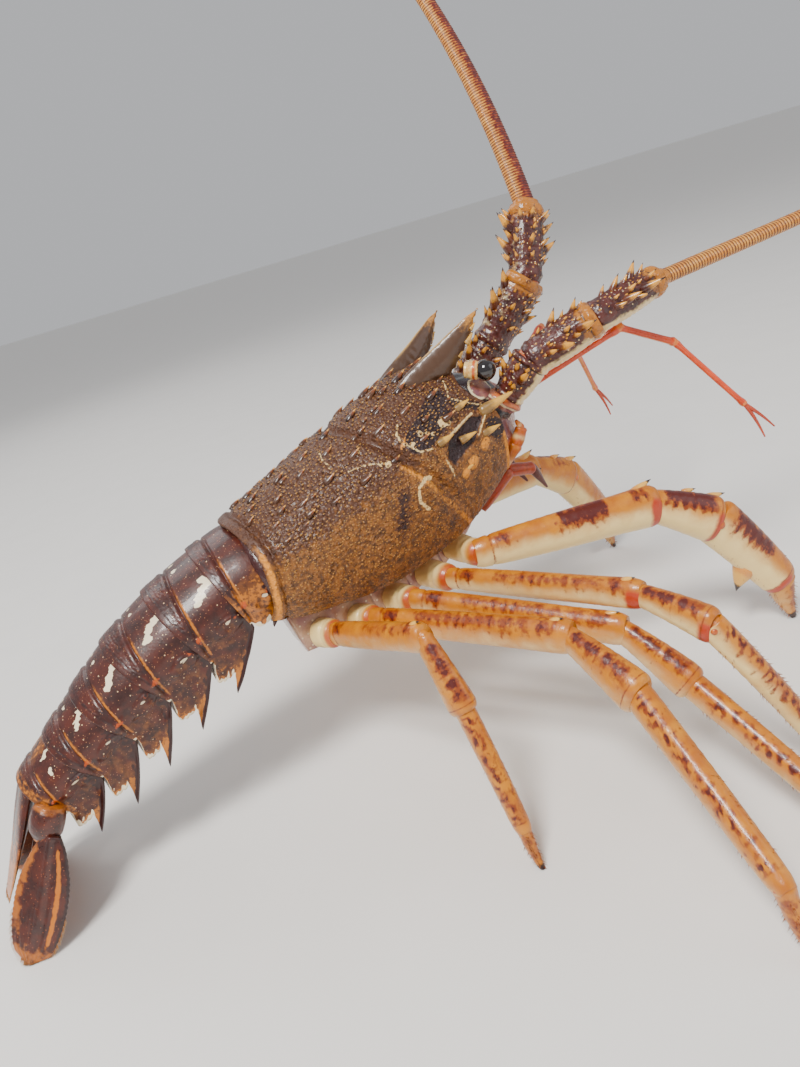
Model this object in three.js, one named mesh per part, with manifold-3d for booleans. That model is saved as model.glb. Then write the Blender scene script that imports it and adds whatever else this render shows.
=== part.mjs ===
// A European spiny lobster at life size, a still model that stands on its ten legs with its tail fan down.
// The body frame has x forward from the rear margin of the carapace, y to the animal's left and z up.
// The stance frame is level: the floor is z = 0, and the body frame is tipped nose up over it.
import * as THREE from "three";
import { mergeVertices } from "three/addons/utils/BufferGeometryUtils.js";
import Module from "manifold-3d";

const wasm = await Module();
wasm.setup();

// Driving dimensions, in millimetres and degrees
const NOSE_UP = 10; // tip of the body over the floor
const BODY_HEIGHT = 98; // body frame's origin over the floor
const STANCE_SHIFT = [-235, -10]; // stance frame to the middle of the whole model's box
const GAP = 0.35; // between neighbouring pieces
const LOWER_ANGLE = 125; // where the shell's sides end, round from the top
const SHELL_RINGS = 18;
const SHELL_STEPS = 28; // round one ring of the carapace
const GROOVE_DEPTH = 2.4; // cervical groove
const GROOVE_WIDTH = 3.5;

// Carapace, as [place along the body, size] pairs
const BACK_LINE = [[-6, 65], [30, 71], [63, 77], [100, 84], [130, 85], [160, 77]];
const HALF_WIDTH = [[-6, 40], [30, 46], [63, 48], [100, 47], [130, 42], [160, 35]];
const WAIST = [[-6, 33], [30, 33], [63, 34], [100, 38], [130, 43], [160, 46]];
const LOWER_EDGE = [[-6, 17], [10, 9], [30, 4], [63, -2], [100, -1], [130, 5], [160, 16]];
// Its rear and front margins, as [degrees round from the top, place along the body] pairs
const REAR_MARGIN = [[0, 0], [60, 5], [100, 0], [125, -5]];
const FRONT_MARGIN = [[0, 157], [25, 152], [50, 148], [78, 157], [100, 159], [125, 155]];

// Abdomen: length, slope of the back and, at the front and at last the rear, half width and depth
const TERGITE_LENGTHS = [21, 31.5, 33, 29, 26, 25];
const TERGITE_SLOPES = [-8, -12, -19, -26.5, -27.5, -28];
const ABDOMEN_HALF_WIDTHS = [37, 36, 34.5, 32, 29, 26, 22.5];
const ABDOMEN_DEPTHS = [46, 44.5, 42, 38, 34.5, 31, 26];
const ABDOMEN_TOP = 64.5;
const TAIL_STEPS = 16; // round one ring of the tail
const PLEURON_DROPS = [12, 29, 30, 30, 29, 24]; // spine tip below the plate's root
const PLEURON_SWEEPS = [5, 21, 22, 23, 24, 20]; // spine tip further back than its root
const PLEURON_STRAIGHT = 6.5; // depth below its root at which a plate starts to sweep back
const PLEURON_THICKNESS = 2.6;

// Legs: hip in the body frame for the left side, then ischium with merus, carpus, propodus and dactyl,
// each with its half width and half height at the near end and at the far end
const LEGS = {
  1: { root: [108, 18, -14], hip: [112, 42, -15], lengths: [103, 40, 60, 28], heading: [15, 20, 22],
    pitch: [-3, -30, -56],
    near: [[7.6, 9.2], [8.2, 9.6], [9.6, 14.5], [6.6, 8.6]],
    far: [[9.6, 12], [11, 14], [8.2, 11], [1.3, 1.5]] },
  2: { root: [85, 21, -17], hip: [90, 43, -17], lengths: [108, 38, 72, 30], heading: [62, 74, 40],
    pitch: [-1, -14, -60],
    near: [[5, 6.6], [4.6, 5.8], [5.4, 6.8], [3.8, 4.6]],
    far: [[6, 7.6], [7, 9.2], [4.4, 5.2], [1.3, 1.5]] },
  3: { root: [61, 24, -17], hip: [66, 43, -16], lengths: [112, 40, 84, 32], heading: [54, 67, 82],
    pitch: [-8, -38, -28],
    near: [[5.4, 7.4], [4.8, 6.2], [6, 7.6], [4, 5]],
    far: [[6.4, 8.4], [7.6, 10], [4.8, 5.8], [1.3, 1.5]] },
  4: { root: [37, 27, -14], hip: [42, 41, -13], lengths: [110, 42, 88, 31], heading: [57, 80, 95],
    pitch: [-2, -26, -30],
    near: [[5.4, 7.4], [5, 6.6], [6.6, 8.2], [4.2, 5.2]],
    far: [[6.6, 8.8], [8.6, 11.5], [5, 6], [1.3, 1.5]] },
  5: { root: [15, 28, -8], hip: [20, 39, -8], lengths: [70, 38, 60, 21], heading: [69, 79, 87],
    pitch: [9, -62, -63],
    near: [[5.4, 7.2], [4.6, 5.6], [5, 6.2], [3.4, 4]],
    far: [[6, 7.6], [6.8, 8.8], [4.2, 4.8], [1.3, 1.5]] },
};
const COXA = { near: [8, 8], far: [7, 7.5] };
const LEG_SWELLS = [1, 1.05, 1.05, 1.04, 1.12];
const LEFT_SWING = { 1: 5, 2: 7, 3: -3, 4: 4, 5: -7 }; // degrees forward of the right leg's mirror

// Colours of the living animal
const COLOURS = {
  shell: 0x5e4526,
  tail: 0x3b1c17,
  leg: 0xc9772a,
  antenna: 0xb8702a,
  peduncle: 0x33202a,
  antennule: 0xc8561d,
  pale: 0xc9b48f,
  eye: 0x0c0b0d,
};

const vec = (x, y, z) => new THREE.Vector3(x, y, z);
const radians = THREE.MathUtils.degToRad;

// A smooth curve through [place, value] pairs
function curveThrough(pairs) {
  const last = pairs.length - 1;
  const slope = (k) => {
    const before = pairs[Math.max(k - 1, 0)];
    const after = pairs[Math.min(k + 1, last)];
    return (after[1] - before[1]) / (after[0] - before[0]);
  };
  return (place) => {
    let k = 1;
    while (k < last && place > pairs[k][0]) k += 1;
    const span = pairs[k][0] - pairs[k - 1][0];
    const t = THREE.MathUtils.clamp((place - pairs[k - 1][0]) / span, 0, 1);
    const start = pairs[k - 1][1] * (1 + 2 * t) * (1 - t) ** 2;
    const end = pairs[k][1] * t * t * (3 - 2 * t);
    return start + end + span * (slope(k - 1) * t * (1 - t) ** 2 - slope(k) * t * t * (1 - t));
  };
}

// A point of the body frame in the stance frame
function stance(point) {
  const tip = radians(NOSE_UP);
  const x = point.x * Math.cos(tip) - point.z * Math.sin(tip);
  const z = point.x * Math.sin(tip) + point.z * Math.cos(tip);
  return vec(x, point.y, z + BODY_HEIGHT);
}

// A closed skin over rings of points, with a fan of triangles from each end point
function loft(rings, startPoint, endPoint) {
  const count = rings[0].length;
  const points = [...rings.flat(), startPoint, endPoint];
  const faces = [];
  for (let r = 0; r < rings.length - 1; r += 1) {
    for (let i = 0; i < count; i += 1) {
      const a = r * count + i;
      const b = r * count + ((i + 1) % count);
      faces.push(a, b, b + count, a, b + count, a + count);
    }
  }
  const start = rings.length * count;
  const lastRing = start - count;
  for (let i = 0; i < count; i += 1) {
    const next = (i + 1) % count;
    faces.push(next, i, start);
    faces.push(lastRing + i, lastRing + next, start + 1);
  }
  let volume = 0;
  for (let f = 0; f < faces.length; f += 3) {
    const [a, b, c] = [points[faces[f]], points[faces[f + 1]], points[faces[f + 2]]];
    volume += a.clone().cross(b).dot(c);
  }
  if (volume < 0) faces.reverse();
  const geometry = new THREE.BufferGeometry().setFromPoints(points);
  geometry.setIndex(faces);
  return geometry;
}

const middle = (ring) => ring.reduce((sum, p) => sum.add(p), vec(0, 0, 0)).divideScalar(ring.length);

// An oval ring of points about a centre
function oval(centre, side, top, halfSide, halfTop, steps) {
  return Array.from({ length: steps }, (_, i) => {
    const turn = (2 * Math.PI * (i + 0.5)) / steps;
    const point = centre.clone().addScaledVector(side, halfSide * Math.cos(turn));
    return point.addScaledVector(top, halfTop * Math.sin(turn));
  });
}

// A closed solid for joining and cutting
function solidOf(geometry) {
  const bare = new THREE.BufferGeometry();
  bare.setAttribute("position", geometry.getAttribute("position"));
  bare.setIndex(geometry.index);
  const merged = mergeVertices(bare, 1e-4);
  const vertProperties = merged.getAttribute("position").array;
  const triVerts = new Uint32Array(merged.index.array);
  return new wasm.Manifold(new wasm.Mesh({ numProp: 3, vertProperties, triVerts }));
}

// The largest closed surface of a solid
function largest(solid) {
  return solid.decompose().reduce((most, body) => (body.volume() > most.volume() ? body : most));
}

const fused = (geometries) => largest(geometries.map(solidOf).reduce((sum, piece) => sum.add(piece)));

// A piece cut clear of its neighbour, which stands off by the gap in each of the directions given
function clearOf(solid, neighbour, ways) {
  const cut = ways.reduce((rest, way) => {
    const shift = way.clone().multiplyScalar(GAP);
    return rest.subtract(neighbour.translate(shift.toArray()));
  }, solid);
  return largest(cut);
}

function geometryOf(solid) {
  const mesh = solid.getMesh();
  const geometry = new THREE.BufferGeometry();
  geometry.setAttribute("position", new THREE.BufferAttribute(new Float32Array(mesh.vertProperties), 3));
  geometry.setIndex(new THREE.BufferAttribute(new Uint32Array(mesh.triVerts), 1));
  const flat = geometry.toNonIndexed();
  flat.computeVertexNormals();
  return flat;
}

// A tapering spine with its root sunk in, bent a little toward its hook direction
function spine(root, direction, length, width, hook = vec(0, 0, 0)) {
  const along = direction.clone().normalize();
  const helper = Math.abs(along.y) > 0.8 ? vec(0, 0, 1) : vec(0, 1, 0);
  const side = along.clone().cross(helper).normalize();
  const top = side.clone().cross(along);
  const sunk = root.clone().addScaledVector(along, -0.45 * width);
  const waist = root.clone().addScaledVector(along, 0.45 * length).addScaledVector(hook, 0.04 * length);
  const tip = root.clone().addScaledVector(along, length).addScaledVector(hook, 0.22 * length);
  const base = oval(sunk, side, top, width / 2, width / 2, 4);
  const middleRing = oval(waist, side, top, width * 0.3, width * 0.3, 4);
  return loft([base, middleRing], sunk, tip);
}

// A limb through its joints. Every length swells a little toward its far end, and the rings at the joints
// lie in the plane that halves the bend, so that two neighbouring pieces meet face to face.
function limbPiece(limb, first, last) {
  const { joints, sizes, up, steps } = limb;
  const headings = joints.slice(1).map((joint, k) => joint.clone().sub(joints[k]).normalize());
  const facing = (k) => {
    const before = headings[Math.max(k - 1, 0)];
    const after = headings[Math.min(k, headings.length - 1)];
    return before.clone().add(after).normalize();
  };
  const ringAt = (centre, axis, [halfSide, halfTop]) => {
    const side = axis.clone().cross(up).normalize();
    const top = side.clone().cross(axis);
    return oval(centre, side, top, halfSide, halfTop, steps);
  };
  const rings = [];
  const start = joints[first].clone().addScaledVector(facing(first), first > 0 ? GAP / 2 : 0);
  rings.push(ringAt(start, facing(first), sizes[first].near));
  for (let k = first; k < last; k += 1) {
    const { near, far, swell = 1.05 } = sizes[k];
    const length = joints[k].distanceTo(joints[k + 1]);
    const inset = (joint, size) => {
      const half = facing(joint).angleTo(headings[k]);
      return Math.max(...size) * Math.tan(half) + 1.2;
    };
    const from = inset(k, near);
    const to = length - inset(k + 1, far);
    const cuts = sizes[k].cuts ?? 3;
    for (let i = 0; i < cuts; i += 1) {
      const place = from + ((to - from) * i) / (cuts - 1);
      const share = place / length;
      const bulge = 1 + (swell - 1) * Math.sin(Math.PI * Math.min(1, share * 1.15));
      const size = near.map((value, axis) => (value + (far[axis] - value) * share) * bulge);
      rings.push(ringAt(joints[k].clone().addScaledVector(headings[k], place), headings[k], size));
    }
    if (k + 1 < last) rings.push(ringAt(joints[k + 1], facing(k + 1), sizes[k].far));
  }
  const inner = last < joints.length - 1;
  const end = joints[last].clone().addScaledVector(facing(last), inner ? -GAP / 2 : 0);
  if (inner || !limb.pointed) rings.push(ringAt(end, facing(last), sizes[last - 1].far));
  return loft(rings, middle(rings[0]), end);
}

// A flat tapering plate along a line: each station is [centre, half width, half thickness]
function plate(stations, side, top, steps) {
  const rings = stations.map(([centre, width, thickness]) => {
    return oval(centre, side, top, width, thickness, steps);
  });
  return loft(rings, middle(rings[0]), middle(rings[rings.length - 1]));
}

const lobster = new THREE.Group();
const body = new THREE.Group();
body.rotation.y = -radians(NOSE_UP);
body.position.z = BODY_HEIGHT;
lobster.add(body);
lobster.position.set(STANCE_SHIFT[0], STANCE_SHIFT[1], 0);

function addNode(group, name, shape, colour, roughness = 0.45) {
  const geometry = shape.isBufferGeometry ? geometryOf(solidOf(shape)) : geometryOf(shape);
  const material = new THREE.MeshStandardMaterial({ color: COLOURS[colour], roughness, metalness: 0 });
  const mesh = new THREE.Mesh(geometry, material);
  mesh.name = name;
  group.add(mesh);
}

// The carapace's surface
const backLine = curveThrough(BACK_LINE);
const halfWidth = curveThrough(HALF_WIDTH);
const waist = curveThrough(WAIST);
const lowerEdge = curveThrough(LOWER_EDGE);
const rearMargin = curveThrough(REAR_MARGIN);
const frontMargin = curveThrough(FRONT_MARGIN);

// Degrees round from the top, to the left where positive
function shellPoint(x, angle, lift = 0) {
  const turn = radians(angle);
  const along = x - (76 + 34 * (Math.abs(angle) / 100) ** 1.3);
  const fade = THREE.MathUtils.clamp((112 - Math.abs(angle)) / 15, 0, 1);
  const groove = fade * GROOVE_DEPTH * Math.exp(-((along / GROOVE_WIDTH) ** 2));
  const upper = backLine(x) - waist(x);
  const lower = (waist(x) - lowerEdge(x)) / -Math.cos(radians(LOWER_ANGLE));
  const rise = Math.cos(turn) >= 0 ? upper : lower;
  const y = halfWidth(x) * Math.sin(turn);
  const z = rise * Math.cos(turn);
  const shrink = 1 + (lift - groove) / Math.hypot(y, z);
  return vec(x, y * shrink, waist(x) + z * shrink);
}

function shellNormal(x, angle) {
  const alongBody = shellPoint(x + 1, angle).sub(shellPoint(x - 1, angle));
  const round = shellPoint(x, angle + 1).sub(shellPoint(x, angle - 1));
  return round.cross(alongBody).normalize().negate();
}

function carapaceShell() {
  const rings = [];
  for (let r = 0; r < SHELL_RINGS; r += 1) {
    const share = r / (SHELL_RINGS - 1);
    const ring = [];
    for (let i = 0; i < SHELL_STEPS; i += 1) {
      const angle = -LOWER_ANGLE + (2 * LOWER_ANGLE * i) / (SHELL_STEPS - 1);
      const rear = rearMargin(Math.abs(angle));
      const x = rear + (frontMargin(Math.abs(angle)) - rear) * share;
      ring.push(shellPoint(x, angle));
    }
    const [left, right] = [ring[ring.length - 1], ring[0]];
    for (let i = 1; i < 4; i += 1) ring.push(left.clone().lerp(right, i / 4));
    rings.push(ring);
  }
  return loft(rings, vec(6, 0, 38), vec(150, 0, 48));
}

// The big horn over each eye, flattened from side to side, with small teeth along its front edge
const HORN_LINE = [[128, 15, 80], [146, 18, 84], [160, 21, 91], [171, 23.5, 98]];
const HORN_SIZES = [[4.5, 7], [4.2, 9], [3.2, 6.5], [1.6, 3]];
const HORN_TIP = [177, 24.5, 101];
const HORN_TEETH = [[165, 23, 87.5, 8], [158.5, 21, 83, 7]]; // place and length

function horn(mirror) {
  const centres = HORN_LINE.map(([x, y, z]) => vec(x, y * mirror, z));
  const rings = centres.map((centre, k) => {
    const next = centres[Math.min(k + 1, centres.length - 1)];
    const before = centres[Math.max(k - 1, 0)];
    const axis = next.clone().sub(before).normalize();
    const side = axis.clone().cross(vec(0, 0, 1)).normalize();
    const top = side.clone().cross(axis);
    return oval(centre, side, top, HORN_SIZES[k][0], HORN_SIZES[k][1], 8);
  });
  const tip = vec(HORN_TIP[0], HORN_TIP[1] * mirror, HORN_TIP[2]);
  const teeth = HORN_TEETH.map(([x, y, z, length]) => {
    return spine(vec(x, y * mirror, z), vec(1, 0.1 * mirror, 0.35), length, 4.4);
  });
  return fused([loft(rings, centres[0], tip), ...teeth]);
}

// Single spines of the carapace: [x, degrees round, length, width, rise over the surface]
const FACE_SPINES = [
  [150, 0, 14, 6, 0.35], [152, 76, 21, 7, 0.38], [146, 92, 11, 5, 0.35], [131, 84, 11, 5, 0.35],
  [118, 74, 10, 5, 0.4], [138, 62, 9, 4.5, 0.4], [124, 98, 8, 4, 0.35],
];
// Rows of spines down the back: degrees round, first x, last x, step, length at the front
const SPINE_ROWS = [
  [9, 20, 142, 17, 9], [26, 12, 122, 17.5, 9], [43, 20, 138, 18, 8], [61, 14, 132, 19, 7],
];

function carapaceSpines() {
  const pieces = [];
  for (const mirror of [-1, 1]) {
    for (const [x, angle, length, width, rise] of FACE_SPINES) {
      if (angle === 0 && mirror > 0) continue;
      const root = shellPoint(x, angle * mirror);
      const way = shellNormal(x, angle * mirror).multiplyScalar(rise).add(vec(1, 0, 0));
      pieces.push(spine(root, way, length, width, vec(0, 0, 0.5)));
    }
    for (const [angle, first, last, step, most] of SPINE_ROWS) {
      for (let x = first; x <= last; x += step) {
        const length = most * (0.62 + 0.38 * (x / 140)) * (0.9 + 0.2 * Math.abs(Math.sin(x * 7 + angle)));
        const place = angle + 3 * Math.sin(x * 1.7 + angle);
        const root = shellPoint(x, place * mirror);
        const way = shellNormal(x, place * mirror).multiplyScalar(0.75).add(vec(1, 0, 0));
        pieces.push(spine(root, way, length, length * 0.55, vec(0.6, 0, 0.3)));
      }
    }
  }
  return pieces;
}

const carapace = fused([carapaceShell(), ...carapaceSpines()]);
addNode(body, "carapace", carapace, "shell", 0.5);
for (const [sideName, mirror] of [["right", -1], ["left", 1]]) {
  const ways = [vec(0, 0, 1.2), vec(0, mirror, 0), vec(0, -mirror, 0), vec(1, 0, 0)];
  addNode(body, `horn_${sideName}`, clearOf(horn(mirror), carapace, ways), "shell", 0.4);
}

// The head in front of the carapace: the plate between the antennae, the snout below it and the mouth frame
// [place, half width, lowest, highest]
const HEAD_RINGS = [
  [140, 26, 12, 70], [160, 28, 13, 69], [170, 24, 16, 63], [178, 13, 26, 54], [183, 9, 32, 48],
];

function headShape() {
  const rings = HEAD_RINGS.map(([x, wide, low, high]) => {
    return Array.from({ length: 16 }, (_, i) => {
      const turn = (2 * Math.PI * (i + 0.5)) / 16;
      const full = (value) => Math.sign(value) * Math.abs(value) ** 0.6;
      const z = (low + high) / 2 + ((high - low) / 2) * full(Math.sin(turn));
      return vec(x, wide * full(Math.cos(turn)), z);
    });
  });
  return loft(rings, middle(rings[0]), middle(rings[rings.length - 1]));
}

// Antennae: joints of the peduncle in the body frame, then the whip as a start heading and its turning.
// Both are a little flat: the right one lies on its broad side, and the left one stands broadside.
const ANTENNAE = {
  right: {
    joints: [[172, -28, 50], [189, -37, 64], [223, -54, 71], [266, -57, 72]],
    heading: -13, rise: 6, headingTurn: -5, riseTurn: 1.5, up: [0, 0, 1], whipRoot: [6.6, 4.4],
    sizes: [
      { near: [9.5, 9], far: [11, 10.5], swell: 1.04 },
      { near: [11, 10.5], far: [10.5, 10], swell: 1.08 },
      { near: [10, 9.5], far: [8.5, 8], swell: 1.1 },
    ],
  },
  left: {
    joints: [[172, 28, 51], [201, 20, 69], [231, 10, 93], [254, 19, 128]],
    heading: 58, rise: 69, headingTurn: 19, riseTurn: -3.5, up: [1, 0, 0], whipRoot: [4.6, 7],
    sizes: [
      { near: [9, 9.5], far: [10, 12], swell: 1.04 },
      { near: [10, 12], far: [10, 12.8], swell: 1.08 },
      { near: [9.5, 10.5], far: [8.5, 10], swell: 1.12 },
    ],
  },
};
const WHIP_LENGTH = 470;
const WHIP_PIECES = 3;
const WHIP_STEPS = 9; // stretches in one piece
const WHIP_TIP = 0.9;

// Points along a whip that turns evenly, in the body frame
function whipPoints(start, { heading, rise, headingTurn, riseTurn }) {
  const stretches = WHIP_PIECES * WHIP_STEPS;
  const step = WHIP_LENGTH / stretches;
  const points = [start];
  for (let k = 0; k < stretches; k += 1) {
    const far = (k * step) / 100;
    const yaw = radians(heading + headingTurn * far);
    const lift = radians(rise + riseTurn * far * far - NOSE_UP * Math.cos(yaw));
    const way = vec(Math.cos(lift) * Math.cos(yaw), Math.cos(lift) * Math.sin(yaw), Math.sin(lift));
    points.push(points[k].clone().addScaledVector(way, step));
  }
  return points;
}

function whip(points, up, startAxis, whipRoot) {
  const total = points.length - 1;
  const sizeAt = (k) => whipRoot.map((size) => WHIP_TIP + (size - WHIP_TIP) * (1 - k / total) ** 0.85);
  return (piece) => {
    const rings = [];
    const first = piece * WHIP_STEPS;
    for (let k = first; k <= first + WHIP_STEPS; k += 1) {
      const before = points[Math.max(k - 1, 0)];
      const after = points[Math.min(k + 1, total)];
      const axis = k === 0 ? startAxis : after.clone().sub(before).normalize();
      const gap = (k === first ? GAP / 2 : 0) - (k === first + WHIP_STEPS ? GAP / 2 : 0);
      const side = axis.clone().cross(up).normalize();
      const [halfSide, halfTop] = sizeAt(k);
      const centre = points[k].clone().addScaledVector(axis, gap);
      rings.push(oval(centre, side, side.clone().cross(axis), halfSide, halfTop, 6));
    }
    return loft(rings, middle(rings[0]), middle(rings[rings.length - 1]));
  };
}

// Spines stand in two rows along the upper and outer edges of each length of the peduncle
const PEDUNCLE_SPINES = [2, 3, 4];
const PEDUNCLE_SPINE = [8.5, 4.6]; // length and width

function peduncleSpines({ joints, up, sizes }, k) {
  const axis = joints[k + 1].clone().sub(joints[k]).normalize();
  const side = axis.clone().cross(up).normalize();
  const top = side.clone().cross(axis);
  const length = joints[k].distanceTo(joints[k + 1]);
  const pieces = [];
  for (const [turn, size] of [[20, 1], [90, 0.85], [160, 1]]) {
    const out = side.clone().multiplyScalar(Math.cos(radians(turn)));
    out.addScaledVector(top, Math.sin(radians(turn)));
    const [halfSide, halfTop] = sizes[k].far;
    const radius = Math.hypot(halfSide * Math.cos(radians(turn)), halfTop * Math.sin(radians(turn)));
    for (let i = 0; i < PEDUNCLE_SPINES[k]; i += 1) {
      const place = length * (0.25 + (0.58 * (i + 0.5)) / PEDUNCLE_SPINES[k]);
      const root = joints[k].clone().addScaledVector(axis, place).addScaledVector(out, radius * 0.97);
      const way = axis.clone().addScaledVector(out, 0.9);
      const [most, width] = PEDUNCLE_SPINE;
      pieces.push(spine(root, way, most * size * (0.8 + 0.25 * (i % 2)), width * size, axis));
    }
  }
  return pieces;
}

const toPoints = (rows) => rows.map(([x, y, z]) => vec(x, y, z));

// The socket on the head that each antenna's base meets
function antennaSocket({ joints, up }) {
  const [start, next] = toPoints(joints);
  const first = next.clone().sub(start).normalize();
  const side = first.clone().cross(vec(...up)).normalize();
  const top = side.clone().cross(first);
  const sunk = start.clone().multiply(vec(1, 0.72, 1)).add(vec(-20, 0, -7));
  const end = start.clone().addScaledVector(first, -GAP);
  const rings = [sunk, end].map((centre) => oval(centre, side, top, 9.2, 9.2, 10));
  return loft(rings, middle(rings[0]), middle(rings[1]));
}

const shellSolid = solidOf(carapaceShell());
const headPieces = [headShape(), ...Object.values(ANTENNAE).map(antennaSocket)];
const head = clearOf(fused(headPieces), shellSolid, [vec(2.6, 0, 0)]);
addNode(body, "head", head, "peduncle");

for (const [sideName, antenna] of Object.entries(ANTENNAE)) {
  const joints = toPoints(antenna.joints);
  const up = vec(...antenna.up);
  const limb = { joints, sizes: antenna.sizes, up, steps: 10 };
  for (let k = 0; k < 3; k += 1) {
    const name = `antenna_${sideName}_${["base", "middle", "end"][k]}`;
    const whole = fused([limbPiece(limb, k, k + 1), ...peduncleSpines(limb, k)]);
    const outward = vec(0, Math.sign(joints[0].y), 0);
    const solid = k === 0 ? clearOf(whole, head, [outward, vec(0, 0, 1), vec(1, 0, 0)]) : whole;
    addNode(body, name, solid, "peduncle");
  }
  const last = joints[3].clone().sub(joints[2]).normalize();
  const points = whipPoints(joints[3].clone().addScaledVector(last, GAP / 2), antenna);
  const pieceOf = whip(points, up, last, antenna.whipRoot);
  for (let piece = 0; piece < WHIP_PIECES; piece += 1) {
    addNode(body, `whip_${sideName}_${piece + 1}`, pieceOf(piece), "antenna");
  }
}

// Antennules: three long lengths, then a pair of short whips
const ANTENNULE_JOINTS = [[182, 6, 41], [247, 40, 54], [272, 50, 32], [290, 70, -17], [296, 72, -42]];
const ANTENNULE_TWIN = [[290, 70, -17], [302, 75, -38]];
const ANTENNULE_SIZES = [
  { near: [2.8, 2.8], far: [2.4, 2.4], swell: 1, cuts: 2 },
  { near: [2.2, 2.2], far: [2.1, 2.1], swell: 1, cuts: 2 },
  { near: [2, 2], far: [1.8, 1.8], swell: 1, cuts: 2 },
  { near: [1.4, 1.4], far: [0.7, 0.7], swell: 1, cuts: 2 },
];

function antennule(mirror) {
  const placed = (rows) => toPoints(rows.map(([x, y, z]) => [x, y * mirror, z]));
  const limb = { joints: placed(ANTENNULE_JOINTS), sizes: ANTENNULE_SIZES, up: vec(0, 0, 1), steps: 5 };
  const twin = { joints: placed(ANTENNULE_TWIN), sizes: [ANTENNULE_SIZES[3]], up: vec(0, 1, 0), steps: 5 };
  return fused([limbPiece(limb, 0, 4), limbPiece(twin, 0, 1)]);
}

// Eyes on short stalks, at the front corners of the head
const EYE_CENTRE = [164, 31, 71];
const EYE_RADIUS = 6;
const STALK_ROOT = [159, 22, 63];

function eye(mirror) {
  const centre = vec(EYE_CENTRE[0], EYE_CENTRE[1] * mirror, EYE_CENTRE[2]);
  const root = vec(STALK_ROOT[0], STALK_ROOT[1] * mirror, STALK_ROOT[2]);
  const axis = centre.clone().sub(root).normalize();
  const side = axis.clone().cross(vec(0, 0, 1)).normalize();
  const top = side.clone().cross(axis);
  const stations = [[0, 4.2], [4.5, 5], [7, 4.6], [9, 5.8], [11.5, 6], [14, 4.8]];
  const rings = stations.map(([place, radius]) => {
    return oval(root.clone().addScaledVector(axis, place), side, top, radius, radius, 8);
  });
  return loft(rings, root, root.clone().addScaledVector(axis, 16));
}

// The third maxillipeds fold forward under the mouth
const MAXILLIPED = [[136, 13, -6], [160, 15, 6], [176, 14, -2], [182, 11, -20]];
const MAXILLIPED_SIZES = [
  { near: [4.5, 4], far: [5, 4.5] },
  { near: [4.4, 4], far: [4, 3.6] },
  { near: [3.4, 3.4], far: [0.7, 0.7], swell: 1 },
];

function maxilliped(mirror) {
  const joints = toPoints(MAXILLIPED.map(([x, y, z]) => [x, y * mirror, z]));
  return limbPiece({ joints, sizes: MAXILLIPED_SIZES, up: vec(0, 0, 1), steps: 8 }, 0, 3);
}

// The breastplate between the legs, wider toward the rear
const BREAST = [
  [4, 27, -20], [30, 26.5, -24], [60, 23.5, -28], [85, 20.5, -28], [108, 17.5, -24], [134, 12, -12],
]; // place, half width, lowest

function breastplate() {
  const rings = BREAST.map(([x, wide, low]) => {
    const high = lowerEdge(x) + 6;
    const outline = [[-wide, high], [-wide, low + 6], [-wide * 0.4, low], [wide * 0.4, low], [wide, low + 6]];
    outline.push([wide, high]);
    return outline.map(([y, z]) => vec(x, y, z));
  });
  return loft(rings, middle(rings[0]), middle(rings[rings.length - 1]));
}

addNode(body, "breastplate", clearOf(solidOf(breastplate()), shellSolid, [vec(0, 0, -1.3)]), "pale");
for (const [sideName, mirror] of [["right", -1], ["left", 1]]) {
  const clearEye = clearOf(solidOf(eye(mirror)), head, [vec(0, mirror, 0), vec(0, 0, 1), vec(1, 0, 0)]);
  addNode(body, `eye_${sideName}`, clearEye, "eye", 0.1);
  addNode(body, `antennule_${sideName}`, clearOf(antennule(mirror), head, [vec(1.2, 0, 0)]), "antennule");
  addNode(body, `maxilliped_${sideName}`, maxilliped(mirror), "antennule");
}

// Abdomen: where each ring of the tail starts, down the middle of the back
function tergitePlaces() {
  const places = [{ point: vec(0, 0, ABDOMEN_TOP), slope: TERGITE_SLOPES[0] }];
  TERGITE_LENGTHS.forEach((length, k) => {
    const slope = radians(TERGITE_SLOPES[k]);
    const back = vec(-Math.cos(slope), 0, Math.sin(slope));
    const next = places[k].point.clone().addScaledVector(back, length);
    const after = TERGITE_SLOPES[Math.min(k + 1, TERGITE_SLOPES.length - 1)];
    places.push({ point: next, slope: (TERGITE_SLOPES[k] + after) / 2 });
  });
  return places;
}

// A ring of the tail at a share of the way along one tergite
function tailRing(places, k, share, scale, shift) {
  const [start, end] = [places[k], places[k + 1]];
  const slope = radians(start.slope + (end.slope - start.slope) * share);
  const back = vec(-Math.cos(slope), 0, Math.sin(slope));
  const up = vec(-Math.sin(slope) * -1, 0, Math.cos(slope));
  const wide = ABDOMEN_HALF_WIDTHS[k] + (ABDOMEN_HALF_WIDTHS[k + 1] - ABDOMEN_HALF_WIDTHS[k]) * share;
  const deep = ABDOMEN_DEPTHS[k] + (ABDOMEN_DEPTHS[k + 1] - ABDOMEN_DEPTHS[k]) * share;
  const top = start.point.clone().lerp(end.point, share).addScaledVector(back, shift);
  const centre = top.clone().addScaledVector(up, -deep * 0.62);
  const ring = [];
  for (let i = 0; i < TAIL_STEPS; i += 1) {
    const turn = radians(-LOWER_ANGLE + (2 * LOWER_ANGLE * i) / (TAIL_STEPS - 1));
    const rise = Math.cos(turn) >= 0 ? deep * 0.62 : (deep * 0.38) / -Math.cos(radians(LOWER_ANGLE));
    const point = centre.clone().add(vec(0, wide * scale * Math.sin(turn), 0));
    ring.push(point.addScaledVector(up, rise * scale * Math.cos(turn)));
  }
  const [left, right] = [ring[ring.length - 1], ring[0]];
  for (let i = 1; i < 3; i += 1) ring.push(left.clone().lerp(right, i / 3));
  return ring;
}

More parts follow.
